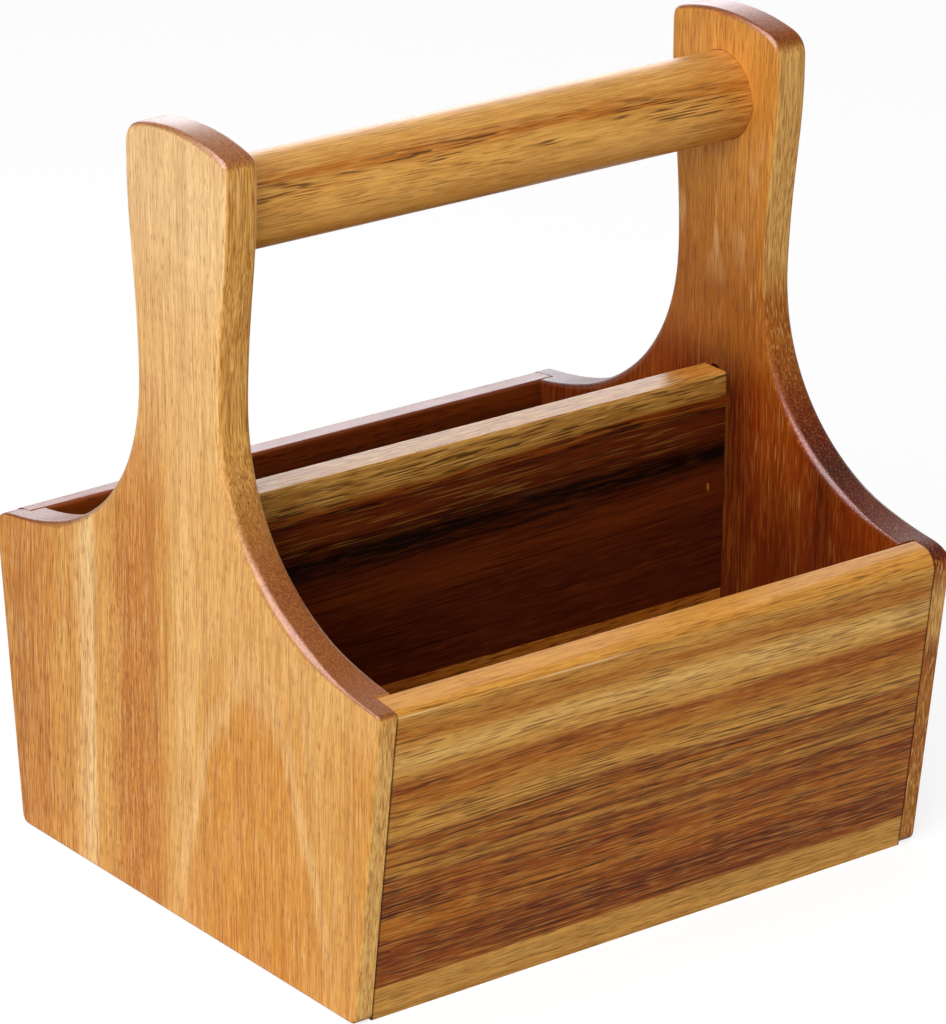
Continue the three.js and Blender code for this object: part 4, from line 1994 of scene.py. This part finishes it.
@dataclass
class Dowels:
    """The eight hidden pins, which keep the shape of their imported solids."""

    nodes: dict[str, bpy.types.Object]
    finish: bpy.types.Material

    def build(self) -> None:
        """Gives each pin its finish."""
        for name, pin in self.nodes.items():
            if not name.startswith("dowel_"):
                continue
            pin.data.materials.clear()
            pin.data.materials.append(self.finish)
            LOG.info("%s: keeps its solid", name)


@dataclass
class Softbox:
    """A rectangular lamp that looks at the crate."""

    name: str
    place: tuple[float, float, float]
    aim: tuple[float, float, float]
    width: float
    height: float
    power: float
    only_sheen: bool = False

    def build(self) -> None:
        """Hangs the lamp. One that shows in reflections only has a cool tint."""
        lamp = bpy.data.lights.new(self.name, "AREA")
        if self.only_sheen:
            lamp.color = COOL_SHEEN
        lamp.shape = "RECTANGLE"
        lamp.size = self.width
        lamp.size_y = self.height
        lamp.energy = self.power
        holder = bpy.data.objects.new(self.name, lamp)
        direction = Vector(self.aim) - Vector(self.place)
        turn = direction.to_track_quat("-Z", "Y").to_matrix().to_4x4()
        holder.matrix_world = Matrix.Translation(self.place) @ turn
        holder.visible_camera = False
        holder.visible_diffuse = not self.only_sheen
        bpy.context.scene.collection.objects.link(holder)


@dataclass
class Studio:
    """A pale floor, a white background, soft lamps and the camera."""

    azimuth: float = -37.57
    elevation: float = 21.6
    roll: float = 0.57
    camera_place: tuple[float, float, float] = (-0.961, -1.2505, 0.7318)
    focal_length: float = 194.64
    sensor_width: float = 36
    nearest: float = 0.05
    farthest: float = 20
    world_fill: float = 0.42
    floor_reach: float = 6
    floor_light: float = 0.75
    floor_glow: float = 0.78
    floor_tone: float = 0.27
    softboxes: list[Softbox] = field(default_factory=lambda: [
        Softbox("key_softbox", (-1.7, -1.0, 1.15), (0, 0, 0.1), 1.3, 1.3, 31),
        Softbox("top_softbox", (-0.2, -0.1, 1.7), (0, 0, 0.1), 1.6, 1.6, 10),
        Softbox("back_softbox", (0.95, 1.2, 0.54), (0, 0, 0.15), 1.7, 0.7, 20, only_sheen=True),
        Softbox("overhead_softbox", (-0.65, 0.02, 1.42), (0, 0, 0.15), 1.7, 1.7, 430, only_sheen=True),
    ])

    def hidden_from_lamps(self, graph: Graph) -> Socket:
        """Tells what is seen from what lights the crate.

        Args:
            graph: A tree.

        Returns:
            One for what the camera, a reflection or a transmission sees, and zero for other light.
        """
        rays = graph.node("LightPath")
        seen = graph.math("ADD", rays.outputs["Is Camera Ray"], rays.outputs["Is Glossy Ray"])
        seen = graph.math("ADD", seen, rays.outputs["Is Transmission Ray"])
        return graph.math("MINIMUM", seen, 1.0)

    def build_world(self) -> None:
        """White to the camera and in reflections, and a soft fill for the light."""
        graph = Graph(bpy.data.worlds.new("studio_world"))
        bpy.context.scene.world = graph.owner
        seen = self.hidden_from_lamps(graph)
        background = graph.node("Background")
        background.inputs["Color"].default_value = (1, 1, 1, 1)
        strength = graph.math("MULTIPLY_ADD", seen, 1 - self.world_fill, self.world_fill)
        graph.feed(background.inputs["Strength"], strength)
        output = graph.node("OutputWorld")
        graph.feed(output.inputs["Surface"], background.outputs[0])

    def build_floor(self) -> None:
        """A wide pale floor that keeps the crate's soft shadow."""
        work = bmesh.new()
        bmesh.ops.create_grid(work, x_segments=1, y_segments=1, size=self.floor_reach)
        mesh = bpy.data.meshes.new("studio_floor")
        work.to_mesh(mesh)
        work.free()
        floor = bpy.data.objects.new("studio_floor", mesh)
        bpy.context.scene.collection.objects.link(floor)
        graph = Graph(bpy.data.materials.new("studio_floor"))
        seen = self.hidden_from_lamps(graph)
        plain = graph.node("BsdfDiffuse")
        plain.inputs["Color"].default_value = (self.floor_light,) * 3 + (1,)
        shadowed = graph.node("BsdfDiffuse")
        shadowed.inputs["Color"].default_value = (self.floor_tone,) * 3 + (1,)
        glow = graph.node("Emission")
        glow.inputs["Strength"].default_value = self.floor_glow
        bright = graph.node("AddShader")
        graph.feed(bright.inputs[0], shadowed.outputs[0])
        graph.feed(bright.inputs[1], glow.outputs[0])
        mixed = graph.node("MixShader")
        graph.feed(mixed.inputs[0], seen)
        graph.feed(mixed.inputs[1], plain.outputs[0])
        graph.feed(mixed.inputs[2], bright.outputs[0])
        output = graph.node("OutputMaterial")
        graph.feed(output.inputs["Surface"], mixed.outputs[0])
        mesh.materials.append(graph.owner)

    def build_camera(self) -> None:
        """Sets the camera where the photographer stood."""
        lens = bpy.data.cameras.new("camera")
        lens.lens = self.focal_length
        lens.sensor_width = self.sensor_width
        lens.clip_start = self.nearest
        lens.clip_end = self.farthest
        camera = bpy.data.objects.new("camera", lens)
        turn = Matrix.Rotation(math.radians(self.azimuth), 4, "Z")
        tilt = Matrix.Rotation(math.radians(90 - self.elevation), 4, "X")
        roll = Matrix.Rotation(math.radians(self.roll), 4, "Z")
        camera.matrix_world = Matrix.Translation(self.camera_place) @ turn @ tilt @ roll
        bpy.context.scene.collection.objects.link(camera)
        bpy.context.scene.camera = camera

    def build(self) -> None:
        """Builds the whole studio."""
        bpy.context.scene.view_settings.view_transform = "Standard"
        self.build_world()
        self.build_floor()
        self.build_camera()
        for softbox in self.softboxes:
            softbox.build()
        LOG.info("studio: %d softboxes", len(self.softboxes))


def clear_scene() -> None:
    """Removes what Blender starts with."""
    for thing in list(bpy.data.objects):
        bpy.data.objects.remove(thing)


def main() -> None:
    """Builds the crate and its studio."""
    logging.basicConfig(level=logging.INFO, format="%(name)s: %(message)s")
    clear_scene()
    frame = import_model()
    sizes = CrateSizes()
    finishes = Finishes(sizes)
    parts = [
        EndBoard(sizes, finishes.left_wide, finishes.left_narrow, "left", False),
        EndBoard(sizes, finishes.right_wide, finishes.right_narrow, "right", True),
        SideBoard(sizes, finishes.front, finishes.front_strip, "front", False),
        SideBoard(sizes, finishes.rear, finishes.rear_strip, "rear", True),
        Divider(sizes, finishes.divider_upper, finishes.divider_lower),
        Base(sizes, finishes.base, finishes.base_middle),
        Handle(sizes, finishes.handle),
        Dowels(frame["nodes"], finishes.dowel),
        Studio(),
    ]
    for part in parts:
        part.build()


if __name__ == "__main__":
    main()
